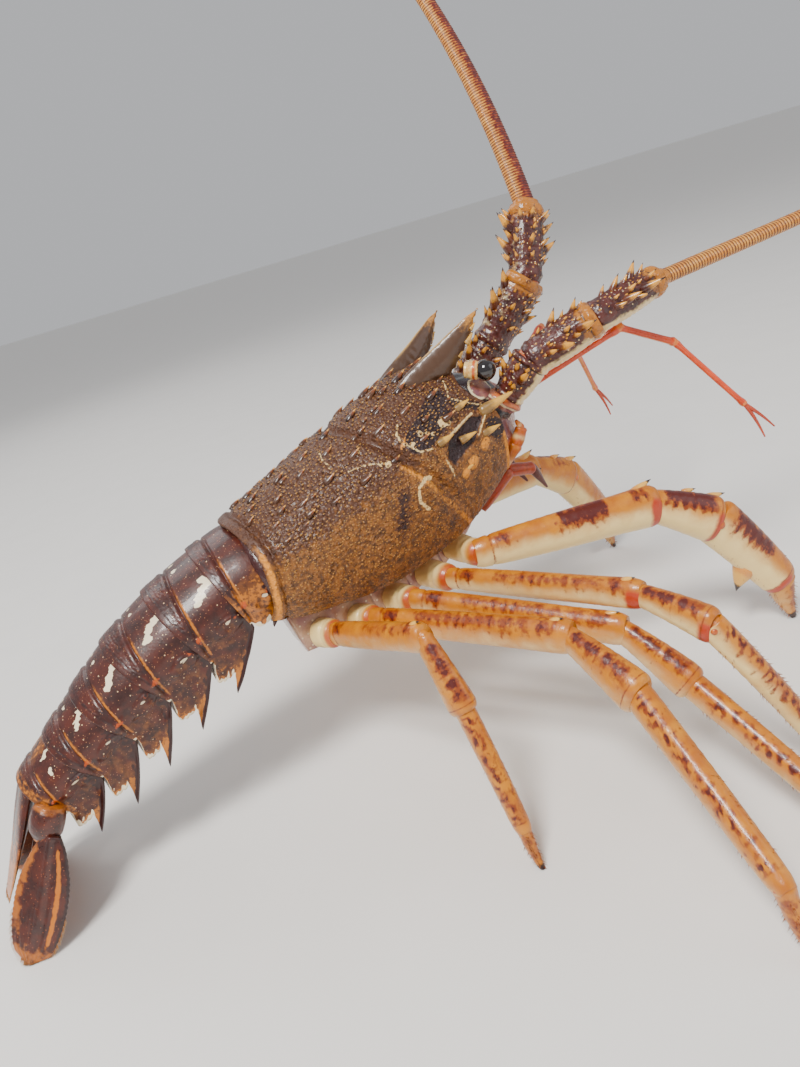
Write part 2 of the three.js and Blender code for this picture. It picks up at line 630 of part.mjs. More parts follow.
// Each tergite's front tucks under the one before it, so it is a little smaller there
const TERGITE_SCALES = [[0, 0.955], [0.2, 0.97], [0.46, 0.985], [0.54, 0.965], [0.62, 0.995], [1, 1.015]];

function tergite(places, k) {
  const last = TERGITE_SCALES.length - 1;
  const rings = TERGITE_SCALES.map(([share, scale], i) => {
    const shift = (i === 0 ? GAP / 2 : 0) - (i === last ? GAP / 2 : 0);
    return tailRing(places, k, share, scale, shift);
  });
  return loft(rings, middle(rings[0]), middle(rings[last]));
}

// The plate that hangs from each side of a tergite: a curved spine in front and a scalloped lobe behind
function pleuron(places, k, mirror) {
  const drop = PLEURON_DROPS[k];
  const deep = ABDOMEN_DEPTHS[k + 1] * 0.86;
  const lean = (end) => Math.tan(radians(Math.abs(places[end].slope - TERGITE_SLOPES[k])));
  const spot = (share, depth) => {
    const front = 0.9 + (deep + depth) * lean(k);
    const rear = TERGITE_LENGTHS[k] - 0.9 - (deep + depth) * lean(k + 1);
    const swept = (PLEURON_SWEEPS[k] * Math.max(depth - PLEURON_STRAIGHT, 0)) / (drop - PLEURON_STRAIGHT);
    return [front + (rear - front) * share + swept, -depth];
  };
  const outline = new THREE.Shape();
  outline.moveTo(...spot(0, -10));
  outline.lineTo(...spot(0, 0));
  outline.quadraticCurveTo(...spot(0.02, drop * 0.62), ...spot(0.4, drop));
  outline.quadraticCurveTo(...spot(0.43, drop * 0.8), ...spot(0.54, drop * 0.72));
  outline.lineTo(...spot(0.62, drop * 0.77));
  outline.lineTo(...spot(0.7, drop * 0.68));
  outline.lineTo(...spot(0.8, drop * 0.72));
  outline.lineTo(...spot(0.96, drop * 0.6));
  outline.lineTo(...spot(1, drop * 0.2));
  outline.lineTo(...spot(1, -10));
  const settings = { depth: PLEURON_THICKNESS, bevelEnabled: false, curveSegments: 3 };
  const blade = new THREE.ExtrudeGeometry(outline, settings);
  const place = places[k];
  const slope = radians(TERGITE_SLOPES[k]);
  const back = vec(-Math.cos(slope), 0, Math.sin(slope));
  const down = vec(-Math.sin(slope), 0, -Math.cos(slope));
  const wide = ABDOMEN_HALF_WIDTHS[k + 1] * 0.93 - PLEURON_THICKNESS;
  const drops = down.clone().add(vec(0, -0.1 * mirror, 0)).normalize().negate();
  const out = vec(0, mirror, 0);
  const root = place.point.clone().addScaledVector(down, deep).addScaledVector(out, wide);
  const across = back.clone().cross(drops);
  const frame = new THREE.Matrix4().makeBasis(back, drops, across);
  frame.setPosition(mirror > 0 === across.y > 0 ? root : root.addScaledVector(out, PLEURON_THICKNESS));
  blade.applyMatrix4(frame);
  return mergedBlade(blade);
}

// The flap-like leg under each side of a tergite, which hangs down and back
const FLAP = [[0, 4, 1.5], [8, 7.5, 1.1], [17, 7, 0.9], [23, 3.5, 0.7]]; // place, half width, half thickness
const FLAP_LEAN = 38;

function flap(places, k, mirror) {
  const slope = radians(TERGITE_SLOPES[k]);
  const back = vec(-Math.cos(slope), 0, Math.sin(slope));
  const down = vec(-Math.sin(slope), 0, -Math.cos(slope));
  const start = places[k].point.clone().addScaledVector(back, TERGITE_LENGTHS[k] * 0.45);
  start.addScaledVector(down, ABDOMEN_DEPTHS[k + 1] - 3);
  start.y = ABDOMEN_HALF_WIDTHS[k + 1] * 0.45 * mirror;
  const lean = radians(FLAP_LEAN);
  const way = down.multiplyScalar(Math.cos(lean)).addScaledVector(back, Math.sin(lean));
  const side = vec(0, 1, 0);
  const rows = FLAP.map(([place, ...sizes]) => [start.clone().addScaledVector(way, place), ...sizes]);
  return plate(rows, side, side.clone().cross(way), 6);
}

function mergedBlade(blade) {
  const bare = new THREE.BufferGeometry();
  bare.setAttribute("position", blade.getAttribute("position"));
  return mergeVertices(bare, 1e-4);
}

const places = tergitePlaces();
const tergites = TERGITE_LENGTHS.map((_, k) => {
  const flaps = k > 0 && k < 5 ? [flap(places, k, -1), flap(places, k, 1)] : [];
  const whole = fused([tergite(places, k), pleuron(places, k, -1), pleuron(places, k, 1), ...flaps]);
  const solid = k === 0 ? clearOf(whole, shellSolid, [vec(-2.2, 0, 0)]) : whole;
  addNode(body, `abdomen_${k + 1}`, solid, "tail", 0.25);
  return solid;
});

// Tail fan: the telson in the middle, and on each side a base with an inner and an outer blade.
// Each blade's start is [along the fan, across, above the telson's middle plane].
const FAN_SLOPE = -48;
const FAN_DROP = 9; // start of the fan under the back line
const TELSON = [[-8, 13, 5], [12, 16, 4.2], [30, 18.5, 2.6], [48, 17.5, 1.7], [58, 14, 1.1], [63, 7, 0.8]];
const BASE_BLADE = [[-2, 8, 7], [2, 9, 8], [11, 9.5, 7.5], [16, 7, 5.5]];
const BLADE = [[-6, 5, 3], [4, 9, 2.8], [20, 13, 2.3], [38, 13.5, 1.8], [53, 10.5, 1.3], [61, 5, 0.9]];
const UROPOD = {
  base: { start: [0, 22, -10], turn: 4, roll: 40, stations: BASE_BLADE },
  inner: { start: [16, 17, -12.5], turn: 3, roll: 18, stations: BLADE },
  outer: { start: [14.5, 30, -13], turn: 9, roll: 60, stations: BLADE },
};

const fanTilt = radians(FAN_SLOPE);
const fanWay = vec(-Math.cos(fanTilt), 0, Math.sin(fanTilt));
const fanTop = vec(Math.sin(fanTilt), 0, Math.cos(fanTilt));
const fanStart = places[6].point.clone().add(vec(0, 0, -FAN_DROP));

function fanBlade(stations, start, way, side, steps) {
  const top = side.clone().cross(way).normalize();
  const rows = stations.map(([place, ...sizes]) => [start.clone().addScaledVector(way, place), ...sizes]);
  return solidOf(plate(rows, side, top, steps));
}

function uropodPiece(kind, mirror) {
  const { start, turn, roll, stations } = UROPOD[kind];
  const yaw = -radians(turn) * mirror;
  const way = fanWay.clone().applyAxisAngle(fanTop, yaw);
  const side = vec(0, 1, 0).applyAxisAngle(fanTop, yaw).applyAxisAngle(way, radians(roll) * mirror);
  const place = fanStart.clone().addScaledVector(fanWay, start[0]).addScaledVector(fanTop, start[2]);
  return fanBlade(stations, place.add(vec(0, start[1] * mirror, 0)), way, side, 10);
}

// The floor, cut out of whatever stands on it
const FLOOR_SIZE = [1600, 1600, 40];

function floorIn(group) {
  const block = new THREE.BoxGeometry(...FLOOR_SIZE).translate(0, 0, -FLOOR_SIZE[2] / 2);
  block.deleteAttribute("normal");
  block.deleteAttribute("uv");
  group.updateMatrix();
  return solidOf(block.applyMatrix4(group.matrix.clone().invert()));
}

const floorUnderBody = floorIn(body);
const tailEnd = tergites[5];
const telson = fanBlade(TELSON, fanStart, fanWay, vec(0, 1, 0), 14);
addNode(body, "telson", clearOf(telson, tailEnd, [fanWay.clone().multiplyScalar(1.3)]), "tail", 0.3);
for (const [sideName, mirror] of [["right", -1], ["left", 1]]) {
  const below = fanTop.clone().negate();
  const aside = [vec(0, mirror, 0), vec(0, -mirror, 0)];
  const ways = [fanWay.clone().multiplyScalar(1.3), ...aside, below, fanTop, vec(-1, 0, 0)];
  const base = clearOf(uropodPiece("base", mirror), tailEnd, ways);
  addNode(body, `uropod_${sideName}_base`, base, "tail", 0.3);
  for (const kind of ["inner", "outer"]) {
    const clearances = [fanWay.clone().multiplyScalar(1.5), ...aside, below];
    const blade = clearOf(uropodPiece(kind, mirror), base, clearances);
    addNode(body, `uropod_${sideName}_${kind}`, blade.subtract(floorUnderBody), "tail", 0.3);
  }
}

// Legs stand in the stance frame. The dactyl runs from its joint down to the floor.
const DEPTH_UNDER_FLOOR = 1.6; // tip before the floor cuts a small flat foot

function legJoints(number, mirror) {
  const { root, hip, lengths, heading, pitch } = LEGS[number];
  const swing = mirror > 0 ? LEFT_SWING[number] : 0;
  const joints = [root, hip].map(([x, y, z]) => stance(vec(x, y * mirror, z)));
  for (let k = 0; k < 4; k += 1) {
    const yaw = radians(heading[Math.min(k, 2)] - swing);
    const from = joints[k + 1];
    const drop = Math.min(0.98, (from.z + DEPTH_UNDER_FLOOR) / lengths[3]);
    const lift = k < 3 ? radians(pitch[k]) : -Math.asin(drop);
    const way = vec(Math.cos(lift) * Math.cos(yaw), mirror * Math.cos(lift) * Math.sin(yaw), Math.sin(lift));
    joints.push(from.clone().addScaledVector(way, lengths[k]));
  }
  return joints;
}

function legLimb(number, mirror) {
  const nears = [COXA.near, ...LEGS[number].near];
  const fars = [COXA.far, ...LEGS[number].far];
  const sizes = nears.map((near, k) => ({ near, far: fars[k], swell: LEG_SWELLS[k] }));
  return { joints: legJoints(number, mirror), sizes, up: vec(0, 0, 1), steps: 7 };
}

// Spines of a leg: [which length, place along it, turn from its top, length, width, lean forward]
const LEG_SPINES = [[1, 0.95, 0, 6, 3.6, 1.6]];
const CLAW_SPINES = [
  [1, 0.93, 10, 11, 6, 1.5], [1, 0.95, 80, 7, 4.5, 1.5],
  [2, 0.84, 15, 10, 5.5, 1.3], [2, 0.45, 15, 7, 4, 1.3],
  [3, 0.5, 20, 6, 4, 1], [3, 0.8, 20, 8, 5, 1], [3, 0.62, 180, 14, 14, 0.3],
];

function legSpines(limb, number, mirror, first, last) {
  const rows = number === 1 ? CLAW_SPINES : LEG_SPINES;
  return rows.filter(([k]) => k >= first && k < last).map(([k, share, turn, long, width, lean]) => {
    const axis = limb.joints[k + 1].clone().sub(limb.joints[k]).normalize();
    const side = axis.clone().cross(limb.up).normalize();
    const out = side.clone().cross(axis).multiplyScalar(Math.cos(radians(turn)));
    out.addScaledVector(side, mirror * Math.sin(radians(turn)));
    const length = limb.joints[k].distanceTo(limb.joints[k + 1]);
    const [halfSide, halfTop] = limb.sizes[k].far;
    const radius = Math.hypot(halfTop * Math.cos(radians(turn)), halfSide * Math.sin(radians(turn)));
    const root = limb.joints[k].clone().addScaledVector(axis, length * share);
    root.addScaledVector(out, radius * 0.85);
    return spine(root, out.addScaledVector(axis, lean), long, width);
  });
}

const floorSolid = floorIn(new THREE.Group());
const breastSolid = solidOf(breastplate().applyMatrix4(body.matrix));

for (const [sideName, mirror] of [["right", -1], ["left", 1]]) {
  for (const number of [1, 2, 3, 4, 5]) {
    const limb = legLimb(number, mirror);
    const name = `leg_${number}_${sideName}`;
    const piece = (first, last) => {
      return fused([limbPiece(limb, first, last), ...legSpines(limb, number, mirror, first, last)]);
    };
    const upper = clearOf(piece(0, 2), breastSolid, [vec(0, 2.2 * mirror, 0)]);
    addNode(lobster, `${name}_upper`, upper, "leg");
    if (number === 1) {
      addNode(lobster, `${name}_carpus`, piece(2, 3), "leg");
      addNode(lobster, `${name}_hand`, piece(3, 4), "leg");
      addNode(lobster, `${name}_finger`, piece(4, 5).subtract(floorSolid), "leg");
    } else {
      addNode(lobster, `${name}_lower`, piece(2, 5).subtract(floorSolid), "leg");
    }
  }
}

export default lobster;
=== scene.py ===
# %% [markdown]
# # A spiny lobster at life size
# The animal stands on its ten legs with its tail fan down, as a museum shows one. A packed set
# of plain solids gives every part its place. This lesson builds the shell that the eye sees:
# a skin of fine rings over each solid, spines and grains set on it, and paint made by rules.

# %% Load the solids
import math
import bpy
import numpy as np
from mathutils import Matrix, Vector


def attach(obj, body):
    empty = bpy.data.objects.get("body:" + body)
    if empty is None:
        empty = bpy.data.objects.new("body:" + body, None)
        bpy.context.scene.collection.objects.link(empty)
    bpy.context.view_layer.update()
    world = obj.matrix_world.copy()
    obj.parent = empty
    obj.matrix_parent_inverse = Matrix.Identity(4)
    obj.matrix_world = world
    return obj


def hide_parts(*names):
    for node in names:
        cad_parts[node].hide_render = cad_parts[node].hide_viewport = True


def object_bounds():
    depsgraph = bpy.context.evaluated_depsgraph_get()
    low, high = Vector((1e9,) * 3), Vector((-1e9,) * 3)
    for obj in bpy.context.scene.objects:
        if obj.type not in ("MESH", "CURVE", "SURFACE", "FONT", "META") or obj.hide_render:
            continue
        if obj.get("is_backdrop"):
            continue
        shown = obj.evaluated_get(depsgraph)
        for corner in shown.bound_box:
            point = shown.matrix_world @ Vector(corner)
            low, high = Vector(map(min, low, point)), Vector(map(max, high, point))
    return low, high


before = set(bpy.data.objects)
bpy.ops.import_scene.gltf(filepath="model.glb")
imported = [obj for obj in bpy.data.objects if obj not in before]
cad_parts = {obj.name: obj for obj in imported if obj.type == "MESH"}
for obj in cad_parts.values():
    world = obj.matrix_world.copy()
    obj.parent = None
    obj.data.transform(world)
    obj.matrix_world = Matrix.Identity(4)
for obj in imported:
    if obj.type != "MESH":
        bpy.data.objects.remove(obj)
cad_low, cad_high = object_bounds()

print("solids:", len(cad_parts), "size in metres:", [round(v, 3) for v in cad_high - cad_low])

# %% [markdown]
# ## Two frames
# The carapace, tail and feelers are drawn along the body: x forward from the rear margin of the
# carapace, y to the left, z up, in millimetres. The body is tipped nose up over the floor, so one
# function carries its points to the level frame, and another carries those to metres.

# %% Frames and curves
NOSE_UP = math.radians(10)
BODY_HEIGHT = 98.0
STANCE_SHIFT = np.array([-235.0, -10.0, 0.0])


def level(points):
    x, y, z = np.moveaxis(np.asarray(points, float), -1, 0)
    along = x * math.cos(NOSE_UP) - z * math.sin(NOSE_UP)
    high = x * math.sin(NOSE_UP) + z * math.cos(NOSE_UP) + BODY_HEIGHT
    return np.stack([along, y, high], -1)


def metres(points):
    """Millimetres to metres. What comes down to the floor stands flat on it."""
    placed = (np.asarray(points, float) + STANCE_SHIFT) / 1000
    placed[..., 2] = np.maximum(placed[..., 2], 0.0)
    return placed


def curve_through(pairs):
    """A smooth curve through [place, value] pairs."""
    places, values = np.array(pairs, float).T
    slopes = np.gradient(values)
    slopes[1:-1] = (values[2:] - values[:-2]) / (places[2:] - places[:-2])
    slopes[0] = (values[1] - values[0]) / (places[1] - places[0])
    slopes[-1] = (values[-1] - values[-2]) / (places[-1] - places[-2])

    def at(place):
        place = np.asarray(place, float)
        k = np.clip(np.searchsorted(places, place), 1, len(places) - 1)
        span = places[k] - places[k - 1]
        t = np.clip((place - places[k - 1]) / span, 0, 1)
        start = values[k - 1] * (1 + 2 * t) * (1 - t) ** 2
        end = values[k] * t * t * (3 - 2 * t)
        return start + end + span * (slopes[k - 1] * t * (1 - t) ** 2 - slopes[k] * t * t * (1 - t))

    return at


def unit(v):
    v = np.asarray(v, float)
    return v / np.maximum(np.linalg.norm(v, axis=-1, keepdims=True), 1e-9)


def hump(distance, width):
    """1 at distance 0, falling smoothly to 0 over about two widths."""
    return np.exp(-((np.asarray(distance, float) / width) ** 2))


def rise(value, low, high):
    t = np.clip((np.asarray(value, float) - low) / (high - low), 0, 1)
    return t * t * (3 - 2 * t)


def to_line(u, v, line):
    """Distance of points (u, v) to a line of corners."""
    best = np.full(np.shape(u), 1e9)
    for (u0, v0), (u1, v1) in zip(line, line[1:]):
        du, dv = u1 - u0, v1 - v0
        t = np.clip(((u - u0) * du + (v - v0) * dv) / (du * du + dv * dv), 0, 1)
        best = np.minimum(best, np.hypot(u - u0 - t * du, v - v0 - t * dv))
    return best


def swirl(points, size, seed):
    """A smooth random field, mostly from -1 to 1, made of waves about size across."""
    draw = np.random.default_rng(seed)
    total = 0
    for _ in range(14):
        way = unit(draw.normal(size=np.shape(points)[-1]))
        total = (total + np.sin(np.asarray(points) @ way * (2 * math.pi / size)
                                * draw.uniform(0.6, 1.5) + draw.uniform(0, 6.28)))
    return total / 2.6


def studs(u, v, size, seed):
    """Low round bumps, 0 to 1, on a jittered lattice of that spacing."""
    best = np.zeros(np.shape(u))
    iu, iv = np.floor(u / size), np.floor(v / size)
    for a in (-1, 0, 1):
        for b in (-1, 0, 1):
            cu, cv = iu + a, iv + b
            jitter = np.sin(cu * 127.1 + cv * 311.7 + seed) * 43758.5453
            jitter2 = np.sin(cu * 269.5 + cv * 183.3 + seed) * 43758.5453
            pu = (cu + 0.5 + 0.35 * (2 * (jitter - np.floor(jitter)) - 1)) * size
            pv = (cv + 0.5 + 0.35 * (2 * (jitter2 - np.floor(jitter2)) - 1)) * size
            near = np.clip(1 - ((u - pu) ** 2 + (v - pv) ** 2) / (0.55 * size) ** 2, 0, 1)
            best = np.maximum(best, near)
    return best


print("frames ready: body origin stands", BODY_HEIGHT, "mm over the floor")

# %% [markdown]
# ## A piece made of rings
# Nearly every part of a shell is a closed skin over rings of points: a leg, a plate, a horn.
# A Piece collects such skins and, for every point, a few numbers that say what is painted
# there. The numbers become attributes of the mesh, and the materials read them. That way a
# stripe follows the leg it is on, and no picture is needed.

# %% Piece
FIELDS = ("dark", "pale", "warm", "tip")


class Piece:
    def __init__(self, carry=level):
        self.carry, self.points, self.faces, self.fields, self.count = carry, [], [], [], 0

    def rings(self, rings, start=None, end=None, **fields):
        """A closed skin over rings (rows, around, 3), with a fan to the start and end points."""
        rings = np.asarray(rings, float)
        rows, around = rings.shape[:2]
        start = rings[0].mean(0) if start is None else start
        end = rings[-1].mean(0) if end is None else end
        points = np.vstack([rings.reshape(-1, 3), start, end])
        index = np.arange(rows * around).reshape(rows, around)
        right = np.roll(index, -1, axis=1)
        quads = np.stack([index[:-1], right[:-1], right[1:], index[1:]], -1).reshape(-1, 4)
        first, last = rows * around, rows * around + 1
        fans = np.vstack([np.stack([right[0], index[0], np.full(around, first)], -1),
                          np.stack([index[-1], right[-1], np.full(around, last)], -1)])
        whole = np.vstack([quads[:, [0, 1, 2]], quads[:, [0, 2, 3]], fans])
        centred = points - points.mean(0)
        a, b, c = (centred[whole[:, k]] for k in range(3))
        if np.einsum("ij,ij->i", a, np.cross(b, c)).sum() < 0:
            quads, fans = quads[:, ::-1], fans[:, ::-1]
        self.faces += (quads + self.count).tolist() + (fans + self.count).tolist()
        table = np.zeros((len(points), len(FIELDS)), np.float32)
        for k, field in enumerate(FIELDS):
            if field in fields:
                spread = np.broadcast_to(np.asarray(fields[field], float), (rows, around))
                table[:-2, k] = spread.ravel()
                table[-2, k], table[-1, k] = spread[0].mean(), spread[-1].mean()
        self.points.append(points)
        self.fields.append(table)
        self.count += len(points)
        return self

    def mesh(self, name):
        data = bpy.data.meshes.new(name)
        points = metres(self.carry(np.vstack(self.points)))
        data.from_pydata(points.tolist(), [], self.faces)
        table = np.vstack(self.fields)
        for k, field in enumerate(FIELDS):
            data.attributes.new(field, "FLOAT", "POINT").data.foreach_set("value",
                                                                          table[:, k].copy())
        data.shade_smooth()
        data.update()
        return data


def same(points):
    return points


made = {}


def show(name, data, finish, slot, *nodes):
    """Puts a finished mesh in the scene as one piece of the animal."""
    data.materials.clear()
    data.materials.append(finish)
    flat = np.empty(len(data.vertices) * 3)
    data.vertices.foreach_get("co", flat)
    inside_solids = np.clip(flat.reshape(-1, 3), cad_low, cad_high)
    data.vertices.foreach_set("co", inside_solids.ravel())
    piece = bpy.data.objects.new(name, data)
    bpy.context.scene.collection.objects.link(piece)
    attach(piece, "root")
    if nodes:
        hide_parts(*nodes)
    made[name] = len(data.polygons)
    return piece


def oval(centre, side, top, half_side, half_top, steps):
    """Ring of points about a centre."""
    angle = 2 * math.pi * np.arange(steps) / steps
    c, s = np.cos(angle), np.sin(angle)
    return np.asarray(centre) + np.outer(c * half_side, side) + np.outer(s * half_top, top)


def squared(value, power):
    """A cosine or sine, pushed outward by a power under 1, so that a ring gets corners."""
    return np.sign(value) * np.abs(value) ** power


print("piece fields:", FIELDS)

# %% [markdown]
# ## Paint by rules
# A shader tree gets long when it is wired by hand, so one small class wraps an output socket and
# turns + - * / into Math nodes. Every finish of the shell is then one call: a mottled ground, some
# layers that follow the fields of the mesh with a wandering edge, fine dots, gloss and relief.

# %% Wires and graphs
class Wire:
    def __init__(self, graph, socket):
        self.graph, self.socket = graph, socket

    def maths(self, operation, other, swapped=False):
        pair = (other, self) if swapped else (self, other)
        return self.graph.node("ShaderNodeMath", pair, operation=operation)

    def __add__(self, other):
        return self.maths("ADD", other)

    def __sub__(self, other):
        return self.maths("SUBTRACT", other)

    def __rsub__(self, other):
        return self.maths("SUBTRACT", other, True)

    def __mul__(self, other):
        return self.maths("MULTIPLY", other)

    def __truediv__(self, other):
        return self.maths("DIVIDE", other)

    def __pow__(self, other):
        return self.maths("POWER", other)

    __radd__, __rmul__ = __add__, __mul__


class Graph:
    """A node tree. node() makes any node: settings first, then the values of its sockets."""

    def __init__(self, tree):
        self.tree = tree

    def node(self, kind, inputs=(), output=0, **settings):
        fresh = self.tree.nodes.new(kind)
        for key, value in settings.items():
            setattr(fresh, key, value)
        for key, value in inputs.items() if isinstance(inputs, dict) else enumerate(inputs):
            self.feed(fresh.inputs[key], value)
        return Wire(self, fresh.outputs[output])

    def feed(self, socket, value):
        if isinstance(value, Wire):
            self.tree.links.new(value.socket, socket)
        else:
            socket.default_value = value


def paint(code):
    """A colour as it looks, six hex digits, as the linear colour that a shader takes."""
    parts = [int(code[k:k + 2], 16) / 255 for k in (0, 2, 4)]
    return tuple(v / 12.92 if v < 0.04 else ((v + 0.055) / 1.055) ** 2.4 for v in parts) + (1.0,)


# %% Finish
class Finish(Graph):
    def __init__(self, name):
        self.material = bpy.data.materials.new(name)
        self.material.use_nodes = True
        super().__init__(self.material.node_tree)
        self.tree.nodes.clear()
        out = self.tree.nodes.new("ShaderNodeOutputMaterial")
        self.body = self.tree.nodes.new("ShaderNodeBsdfPrincipled")
        self.tree.links.new(self.body.outputs[0], out.inputs["Surface"])
        self.place = self.node("ShaderNodeTexCoord", output="Object")

    def field(self, name):
        return self.node("ShaderNodeAttribute", output="Fac", attribute_name=name)

    def noise(self, size, detail=3.0):
        return self.node("ShaderNodeTexNoise",
                         {"Vector": self.place, "Scale": 1000 / size, "Detail": detail})

    def cells(self, size):
        return self.node("ShaderNodeTexVoronoi", {"Vector": self.place, "Scale": 1000 / size})

    def step(self, value, low, high):
        return self.node("ShaderNodeMapRange", {"Value": value, "From Min": low, "From Max": high},
                         interpolation_type="SMOOTHSTEP")

    def mix(self, share, a, b):
        return self.node("ShaderNodeMix", {0: share, 6: a, 7: b}, output=2, data_type="RGBA")


def shell(name, ground, second, layers=(), dots=(), patch=7.0, edge=0.14, gloss=0.36,
          relief=((2.0, 0.10), (0.5, 0.05)), grain=(), coat=0.35):
    """The finish of a piece of shell. All sizes are in millimetres.

    layers: (field, colour, wander size, wander, softness, threshold if not 0.5), first at the
    bottom. dots: (colour, spacing, radius, field). relief: (size, height). grain: (spacing,
    height) of round bumps."""
    finish = Finish(name)
    colour = finish.mix(finish.step(finish.noise(patch), 0.5 - edge, 0.5 + edge), paint(ground),
                        paint(second))
    for tint, spacing, radius, field in dots:
        spot = 1 - finish.step(finish.cells(spacing), radius * 0.6, radius)
        if field:
            spot = spot * finish.field(field)
        colour = finish.mix(spot, colour, paint(tint))
    for field, tint, size, wander, soft, *threshold in layers:
        middle = threshold[0] if threshold else 0.5
        border = finish.field(field) + (finish.noise(size, 5.0) - 0.5) * wander
        colour = finish.mix(finish.step(border, middle - soft, middle + soft), colour, paint(tint))
    finish.feed(finish.body.inputs["Base Color"], colour)
    finish.feed(finish.body.inputs["Roughness"], (finish.noise(1.7) - 0.5) * 0.25 + gloss)
    height = (finish.noise(0.3, 2.0) - 0.5) * 0.02
    for size, tall in relief:
        height = height + finish.noise(size, 4.0) * tall
    for spacing, tall in grain:
        height = height + (1 - finish.step(finish.cells(spacing), 0.05, 0.6)) * tall
    bump = finish.node("ShaderNodeBump", {"Strength": 1.0, "Distance": 0.001, "Height": height})
    finish.feed(finish.body.inputs["Normal"], bump)
    finish.body.inputs["Coat Weight"].default_value = coat
    finish.body.inputs["Coat Roughness"].default_value = 0.1
    return finish.material


print("paint ready")

# %% [markdown]
# ## Thorns, grains and bristles
# A spiny lobster has thousands of small points. Each is the same thing: a little curved cone with
# its root sunk in the shell, leaning forward. One Geometry Nodes tree sets them on a cloud of
# points that carries where each looks (aim), its length and width, and what it is painted with.

# %% The thorn tree
def open_tree(name, sockets):
    """A new tree with its named inputs: (name, kind, value at the start)."""
    tree = bpy.data.node_groups.new(name, "GeometryNodeTree")
    sockets = (("Geometry", "Geometry", None), *sockets, ("Finish", "Material", None))
    for label, kind, value in sockets:
        socket = tree.interface.new_socket(name=label, in_out="INPUT",
                                           socket_type="NodeSocket" + kind)
        if value is not None:
            socket.default_value = value
    tree.interface.new_socket(name="Geometry", in_out="OUTPUT", socket_type="NodeSocketGeometry")
    graph = Graph(tree)
    group = tree.nodes.new("NodeGroupInput")
    return graph, {socket.name: Wire(graph, socket) for socket in group.outputs if socket.name}


def close_tree(graph, geometry, finish):
    """Makes the result real, smooth and painted, and sends it out."""
    whole = graph.node("GeometryNodeRealizeInstances", {"Geometry": geometry})
    smooth = graph.node("GeometryNodeSetShadeSmooth", {"Geometry": whole})
    done = graph.node("GeometryNodeSetMaterial", {"Geometry": smooth, "Material": finish})
    out = graph.tree.nodes.new("NodeGroupOutput")
    graph.feed(out.inputs[0], done)
    return graph.tree


def thorn_tree():
    graph, given = open_tree("thorns", (("Sides", "Int", 6), ("Rings", "Int", 4),
                                        ("Hook", "Float", 0.2), ("Belly", "Float", 0.8)))

    def read(name, kind):
        return graph.node("GeometryNodeInputNamedAttribute", {"Name": name}, data_type=kind)

    cone = graph.node("GeometryNodeMeshCone",
                      {"Vertices": given["Sides"], "Side Segments": given["Rings"],
                       "Radius Top": 0.02, "Radius Bottom": 0.5, "Depth": 1.0})
    place = graph.node("GeometryNodeInputPosition")
    parts = graph.tree.nodes.new("ShaderNodeSeparateXYZ")
    graph.feed(parts.inputs[0], place)
    x, y, z = (Wire(graph, socket) for socket in parts.outputs)
    swell = 1 + given["Belly"] * z * (1 - z)
    bent = graph.node("ShaderNodeCombineXYZ",
                      (x * swell + given["Hook"] * z * z, y * swell, z * 1.12 - 0.12))
    cone = graph.node("GeometryNodeSetPosition", {"Geometry": cone, "Position": bent})
    cone = graph.node("GeometryNodeStoreNamedAttribute",
                      {"Geometry": cone, "Name": "tip", "Value": z}, data_type="FLOAT",
                      domain="POINT")
    aimed = graph.node("FunctionNodeAlignRotationToVector", {"Vector": read("aim", "FLOAT_VECTOR")},
                       axis="Z")
    turned = graph.node("FunctionNodeAlignRotationToVector",
                        {"Rotation": aimed, "Vector": read("bend", "FLOAT_VECTOR")}, axis="X",
                        pivot_axis="Z")
    wide, tall = read("wide", "FLOAT"), read("tall", "FLOAT")
    size = graph.node("ShaderNodeCombineXYZ", (wide, wide, tall))
    spread = graph.node("GeometryNodeInstanceOnPoints",
                        {"Points": given["Geometry"], "Instance": cone, "Rotation": turned,
                         "Scale": size})
    return close_tree(graph, spread, given["Finish"])


def grown(tree, seed_mesh, name, **values):
    """Runs a tree on a mesh, and gives the result as a plain mesh."""
    carrier = bpy.data.objects.new(name + "_seed", seed_mesh)
    bpy.context.scene.collection.objects.link(carrier)
    modifier = carrier.modifiers.new("grow", "NODES")
    modifier.node_group = tree
    for item in tree.interface.items_tree:
        if item.in_out == "INPUT" and item.name in values:
            modifier[item.identifier] = values[item.name]
    bpy.context.view_layer.update()
    seen = carrier.evaluated_get(bpy.context.evaluated_depsgraph_get())
    data = bpy.data.meshes.new_from_object(seen)
    data.name = name
    carrier.modifiers.clear()
    bpy.data.objects.remove(carrier)
    return data


THORN_TREE = thorn_tree()


